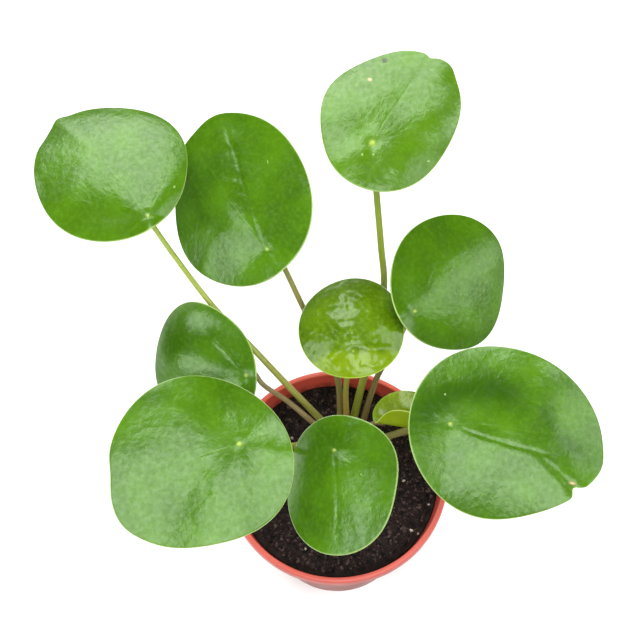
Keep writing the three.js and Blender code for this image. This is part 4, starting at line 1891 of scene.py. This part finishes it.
LEAVES = (
    Leaf(
        "back_left", (-75.4, 82.6, 180), (125, 1, -5), (71, 66), 0.09, 7, 5, (1.3, 3, 200),
        ((1, 2.0, 1), (2, 0.7, 40), (3, 0.8, 31), (4, 1.0, 13)), ((6, 1.8, 5), (21, -0.9, 7)),
        Stalk(
            (147, 84), ((-20.1, 34, 106), (-34.9, 46.2, 121), (-53.6, 65.5, 130)), (1.9, 1.1),
            ("#86843a", "#93a548"),
        ),
        marks=(Mark(5.0, -16.6, 0.4, Blemish.SCALE),),
        tone=0.05,
        pleats=((1, 0.171, 147), (2, 0.283, -25), (3, 0.164, 37), (4, 0.033, -23)),
        bend=(0.029, -0.049, 0.094),
        swell=(-0.005, 0.176, -0.082, 0.079),
        unfold=0.058,
        seed=3,
    ),
    Leaf(
        "back_middle", (-26.8, 73.2, 165), (121, -3, -31), (80, 67), 0.14, 12, 4.5, (1.2, 3, 60),
        ((1, 0.5, -101), (2, 1.9, -59), (3, 1.4, -35), (4, 0.4, -17)), ((-22, 0.9, 12), (-5, -1.0, 10)),
        Stalk(
            (122, 87), ((1.6, 38.6, 106), (-6.5, 53, 118), (-13.1, 62.4, 133)), (1.8, 1.15),
            ("#6a602a", "#757536"),
        ),
        taper=0.05,
        creases=(
            Crease(
                ((1.6, 0), (8.4, -1.2), (16.8, -4), (24, -6.8), (31.2, -9.2), (40.8, -12.4), (51.6, -14.4),
                 (60.8, -16)),
                0.2, 1.0,
            ),
            Crease(((46.8, -12.8), (51.6, -2.8)), 0.25, 1.5),
            Crease(((32.8, -8.8), (39.6, -3.2)), 0.25, 1.4),
            Crease(((26.4, -6.8), (30.8, -3.6)), 0.25, 1.2),
        ),
        marks=(Mark(31.2, -22.4, 0.4, Blemish.SCALE),),
        tone=0.02,
        pleats=((1, 0.103, 136), (2, 0.087, -26), (3, 0.031, 17), (4, 0.013, -33)),
        bend=(-0.010, 0.045, 0.275),
        swell=(-0.069, -0.076, 0.137, -0.080),
        unfold=-0.031,
        seed=5,
    ),
    Leaf(
        "back_right", (18.5, 101, 200), (57, -11, 7), (64.6, 56.2), 0.27, 8, 4.5, (1.1, 4, 20),
        ((2, 0.3, -11), (3, 1.2, -31), (4, 0.3, -5)), ((-16, 1.7, 9), (-3, -1.1, 3.5)),
        Stalk(
            (80, 87), ((13.8, 37.6, 106), (20.7, 54, 121), (23.8, 69.4, 136), (22.2, 77.4, 157)), (2.0, 1.35),
            ("#7d8520", "#6d8218"),
        ),
        marks=(
            Mark(36.2, 14.6, 1.3, Blemish.ROTTEN),
            Mark(25.0, 15.4, 0.8, Blemish.DRY, 1.3),
            Mark(47.4, -2.2, 0.7, Blemish.DRY),
            Mark(6.6, -23.0, 0.45, Blemish.SCALE),
            Mark(-6.2, 1.0, 0.35, Blemish.SCALE),
            Mark(-4.2, -3.0, 0.35, Blemish.SCALE),
        ),
        spot=1.15,
        tone=0.12,
        pleats=((1, 0.201, 175), (2, 0.056, -31), (3, 0.037, 28), (4, 0.006, -12)),
        bend=(0.105, -0.150, -0.287),
        swell=(0.097, -0.200, 0.148, 0.077),
        unfold=0.539,
        seed=7,
    ),
    Leaf(
        "right", (35.4, 48.7, 150), (42, 9, 31), (64, 58.4), 0.11, 10, 4.5, (1.0, 3, 110),
        ((1, 0.5, -86), (2, 1.0, 59), (3, 0.9, 34), (4, 0.6, 14)), (),
        Stalk(
            (48, 85), ((19.9, 36.7, 109), (27, 44, 121), (31.3, 47.8, 136)), (1.8, 1.1),
            ("#66582a", "#656230"),
        ),
        tone=0.05,
        pleats=((1, 0.130, 143), (2, 0.190, -18), (3, 0.101, 48), (4, 0.021, -3)),
        bend=(0.062, -0.058, 0.143),
        swell=(-0.033, 0.027, 0.056, 0.013),
        unfold=-0.067,
        seed=9,
    ),
    Leaf(
        "centre", (8.2, 30.9, 150), (92, -2, -4), (47.5, 45.6), 0.21, 4, 8.5, (0.8, 3, 240),
        ((3, 0.3, -26),), (),
        Stalk((99, 91.5), ((5.4, 31.5, 112),), (1.5, 1.05), ("#8c7830", "#7a8f2e")),
        age=Age.YOUNG,
        creases=(
            Crease(((-2.6, 12.5), (-0.1, 7.3), (1.9, 0.3), (0.6, -7.5), (0.8, -18)), -1.0, 1.9),
            Crease(((-5.1, -1.7), (-5.7, -6.5), (-6.8, -11.5)), -0.35, 1.1),
        ),
        crumple=0.2,
        spot=0.35,
        paler=(180, -2.2, 1.6),
        seed=11,
    ),
    Leaf(
        "left", (-38.6, 31.6, 127), (154, 14, -40), (56, 52.5), 0.09, 10, 4, (0.9, 3, 10),
        ((1, 2.4, 73), (2, 1.1, -69), (3, 1.5, 58), (4, 0.8, -34)), (),
        Stalk(
            (178, 86), ((-12, 21.6, 98), (-20.8, 28, 103.5), (-32.2, 32.6, 115)), (1.6, 1.05),
            ("#75603c", "#7a6f4a"),
        ),
        creases=(Crease(((3, -2), (12.4, -8.4), (20, -12)), 0.3, 1.0),),
        pleats=((1, 0.199, 53), (2, 0.119, 66), (3, 0.072, -39), (4, 0.043, -5)),
        bend=(-0.054, 0.137, 0.245),
        swell=(-0.110, -0.041, 0.332, -0.357),
        unfold=-0.312,
        seed=13,
    ),
    Leaf(
        "front_left", (-38.3, -13.9, 165), (200, -2, -9), (72.5, 68.2), 0.27, 8, 5, (1.4, 4, 120),
        ((1, 0.4, -160), (2, 0.4, -53), (3, 1.1, 24), (4, 0.3, 33)), ((19, 1.3, 14), (-11, -1.2, 12)),
        Stalk(
            (208, 88), ((-10, 8.5, 101), (-18.9, 4, 111), (-26.4, -4, 134)), (2.0, 1.3),
            ("#86803c", "#8f9a3c"),
        ),
        creases=(
            Crease(((14.7, -3.5), (16.7, 1.5), (17.9, 8.3), (16.9, 15.3)), 0.16, 1.6),
            Crease(((18.9, 23.7), (9.9, 19.7)), -0.12, 0.8),
        ),
        spot=0.9,
        tone=0.04,
        pleats=((1, 0.147, -72), (2, 0.044, 69), (3, 0.021, 50), (4, 0.016, -23)),
        bend=(0.068, -0.221, -0.007),
        swell=(0.016, 0.164, 0.115, 0.014),
        unfold=0.141,
        seed=15,
    ),
    Leaf(
        "front", (-1.5, -8.2, 138), (-92, 10, 20), (57.6, 49.8), 0.28, 16, 4, (0.9, 3, 330),
        ((1, 0.7, 7), (2, 0.5, -3), (4, 0.7, 36)), (),
        Stalk((250, 90), ((3, -1, 108),), (1.8, 1.1), ("#86803c", "#8f9a3c")),
        taper=0.07,
        creases=(Crease(((1, 0.3), (6.4, 0.8), (14.4, 1.6), (22.4, 1.6), (32, 1.2)), 0.2, 0.9),),
        marks=(Mark(10.4, 11.2, 0.3, Blemish.SCALE),),
        pleats=((1, 0.160, -154), (2, 0.128, 2), (3, 0.033, 16), (4, 0.020, -20)),
        bend=(-0.036, -0.264, -0.002),
        swell=(0.111, -0.023, 0.142, 0.243),
        unfold=0.359,
        seed=17,
    ),
    Leaf(
        "front_right", (44.9, -6.7, 160), (-6, 5, 11), (79, 70), 0.21, 10, 5, (1.5, 4, 250),
        ((1, 0.3, 160), (2, 0.2, -59), (3, 1.1, -5), (4, 0.4, -16)), ((-16, 1.2, 10), (-36, -3.0, 3.5)),
        Stalk(
            (-28, 87), ((23, 10.1, 102), (32.8, 7.8, 116), (40.2, 1, 138)), (2.0, 1.25),
            ("#857c44", "#8a8c44"),
        ),
        creases=(
            Crease(
                ((2, -0.5), (7.8, -3.0), (17.8, -5.4), (31.8, -7.8), (40.2, -9.0), (50.6, -9.4)), 0.2, 0.9
            ),
            Crease(((41, -5), (44.6, -11), (49, -15.4)), 0.12, 1.7),
            Crease(((44, 2), (50, -4), (57, -12)), 0.12, 1.8),
        ),
        marks=(
            Mark(50.2, -18.6, 0.8, Blemish.DRY),
            Mark(-2.6, 11.8, 0.35, Blemish.SCALE),
        ),
        tone=0.02,
        # Painted shade: two darker patches painted on this blade.
        painted_leaf_shade=(
            PaintedLeafShade(((-9, 4), (-1.5, 12), (12, 16.5), (22, 15)), 7.5, 0.8),
            PaintedLeafShade(((38, 8), (43, 0), (52, -6)), 3.5, 0.55),
        ),
        pleats=((1, 0.132, 162), (2, 0.071, -12), (3, 0.024, -25), (4, 0.009, -37)),
        bend=(0.062, 0.094, 0.064),
        swell=(-0.065, -0.143, 0.226, 0.041),
        unfold=0.184,
        seed=19,
    ),
    Leaf(
        "folded", (22.8, 18.4, 104), (-15, -3, 0), (35, 26), 0.2, -30, 0, (0.5, 3, 90),
        (), ((200, -2.2, 22),),
        Stalk((8, 90.5), ((17, 18.6, 97.5),), (1.1, 0.8), ("#8a7a55", "#9a8a5c")),
        curl=(3, 128),
        age=Age.UNROLLING,
        wrinkle=0.6,
        crumple=0.06,
        seed=21,
    ),
)


# ---------------------------------------------------------------- studio


@dataclass(frozen=True)
class Softbox:
    """A round soft light: where it is seen from the plant, how wide it looks and how bright its face is.

    The bearing is from straight behind the plant to the right. Angles are degrees, and the spread is from its
    middle to its edge.
    """

    name: str
    bearing: float
    elevation: float
    spread: float
    brightness: float
    distance: float = 1.3

    def hang(self, aim: Vector) -> None:
        """Hangs the light and aims it.

        Args:
            aim: the point that it faces.
        """
        turn, rise = math.radians(self.bearing), math.radians(self.elevation)
        away = Vector((math.sin(turn) * math.cos(rise), math.cos(turn) * math.cos(rise), math.sin(rise)))
        light = bpy.data.lights.new(self.name, "AREA")
        light.shape = "DISK"
        light.size = 2 * self.distance * math.tan(math.radians(self.spread))
        light.energy = self.brightness * math.pi * math.pi * light.size**2 / 4
        lamp = bpy.data.objects.new(self.name, light)
        lamp.location = aim + away * self.distance
        lamp.rotation_euler = away.to_track_quat("Z", "Y").to_euler()
        lamp.visible_camera = False
        bpy.context.scene.collection.objects.link(lamp)


@dataclass
class Studio:
    """The paper floor, the soft lights and the camera at the photograph's place."""

    camera_at: tuple[float, float, float] = (-0.0053, -0.1628, 0.5690)
    elevation: float = 63.5
    roll: float = -2.0
    lens: float = 1100 * 36 / 640
    ambient: float = 0.05
    wall: str = "#eaeae9"
    aim: tuple[float, float, float] = (0.0, 0.04, 0.14)
    floor_half: float = 1600.0
    floor_level: float = -0.1
    lights: tuple[Softbox, ...] = (
        Softbox("softbox_back", -14, 48, 27, 5.6),
        Softbox("softbox_front", 159, 60, 27, 5.3),
        Softbox("softbox_left", -114, 25, 21, 4.3),
        Softbox("softbox_right", 89, 25, 22, 3.0),
    )

    def set_camera(self) -> None:
        """Puts up the camera and makes it the scene's."""
        rise, roll = math.radians(self.elevation), math.radians(self.roll)
        ahead = Vector((0, math.cos(rise), -math.sin(rise)))
        up, right = Vector((0, math.sin(rise), math.cos(rise))), Vector((1, 0, 0))
        across = math.cos(roll) * right + math.sin(roll) * up
        upward = math.cos(roll) * up - math.sin(roll) * right
        data = bpy.data.cameras.new("camera")
        data.sensor_width, data.lens, data.clip_start = 36.0, self.lens, 0.01
        camera = bpy.data.objects.new("camera", data)
        turn = Matrix((across, upward, -ahead)).transposed().to_4x4()
        camera.matrix_world = Matrix.Translation(self.camera_at) @ turn
        bpy.context.scene.collection.objects.link(camera)
        bpy.context.scene.camera = camera

    def set_world(self) -> None:
        """Gives the room its dim even light, and a pale wall far behind the floor that is only seen: it gives
        no light. Colours are shown as they are.
        """
        world = bpy.data.worlds.new("studio")
        world.use_nodes = True
        tree = world.node_tree
        tree.nodes.clear()
        inputs = {0: add_node(tree, "ShaderNodeLightPath").outputs["Is Camera Ray"]}
        for colour, strength in (((1, 1, 1, 1), self.ambient), (linear(self.wall), 1)):
            light = add_node(tree, "ShaderNodeBackground", None, {"Color": colour, "Strength": strength})
            inputs[len(inputs)] = light.outputs[0]
        both = add_node(tree, "ShaderNodeMixShader", None, inputs)
        add_node(tree, "ShaderNodeOutputWorld", None, {"Surface": both.outputs[0]})
        bpy.context.scene.world = world
        bpy.context.scene.view_settings.view_transform = "Standard"

    def lay_floor(self) -> None:
        """Lays the paper floor."""
        corners = ((-1, -1), (1, -1), (1, 1), (-1, 1))
        points = np.array([(x * self.floor_half, y * self.floor_half, self.floor_level) for x, y in corners])
        mesh_object("studio_floor", points, [(0, 1, 2, 3)], (StudioPaper().build(),), False)

    def make(self) -> None:
        """Sets up the whole studio."""
        self.set_camera()
        self.set_world()
        self.lay_floor()
        for light in self.lights:
            light.hang(Vector(self.aim))


def main() -> None:
    """Builds the plant over its CAD frame."""
    logging.basicConfig(level=logging.INFO, format="%(name)s: %(message)s")
    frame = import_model()
    LOG.info("CAD frame: %d nodes", len(frame["nodes"]))
    studio = Studio()
    studio.make()
    pot, stem = NurseryPot(), Stem()
    pot.make()
    Compost(pot).make()
    stem.make()
    skins = {
        Age.GROWN: (LeafCuticle().build(), LeafUnderskin().build()),
        Age.YOUNG: (
            LeafCuticle(
                "young_leaf_cuticle_glossy", "#3d5a00", "#4e6d00", "#6a9010", "#7fa32c", "#9ab83c",
                base="#799400", roughness=(0.24, 0.32), bloom=(0.18, 0.4), grain_depth=0.1, pucker_depth=0.1,
                coat=0.45, coat_roughness=0.13,
            ).build(),
            LeafUnderskin("young_leaf_underskin", "#8fa83a", "#a3b850", "#b8cc6a", "#c6dc6c").build(),
        ),
        Age.UNROLLING: (
            LeafCuticle(
                "unrolling_leaf_cuticle", "#728800", "#8aa300", "#a3b41c", "#b9c850",
                roughness=(0.24, 0.3), bloom=(0.2, 0.45), grain_depth=0.08, pucker_depth=0.08,
                coat=0.5, coat_roughness=0.12,
            ).build(),
            LeafUnderskin(
                "unrolling_leaf_underskin", "#8fa600", "#9fb608", "#b4c438", "#d3e07a", (0.3, 0.42)
            ).build(),
        ),
    }
    sweep = stalk_sweep_tree()
    for leaf in LEAVES:
        leaf.make(skins, sweep, stem, np.array(studio.camera_at) / MM)


if __name__ == "__main__":
    main()
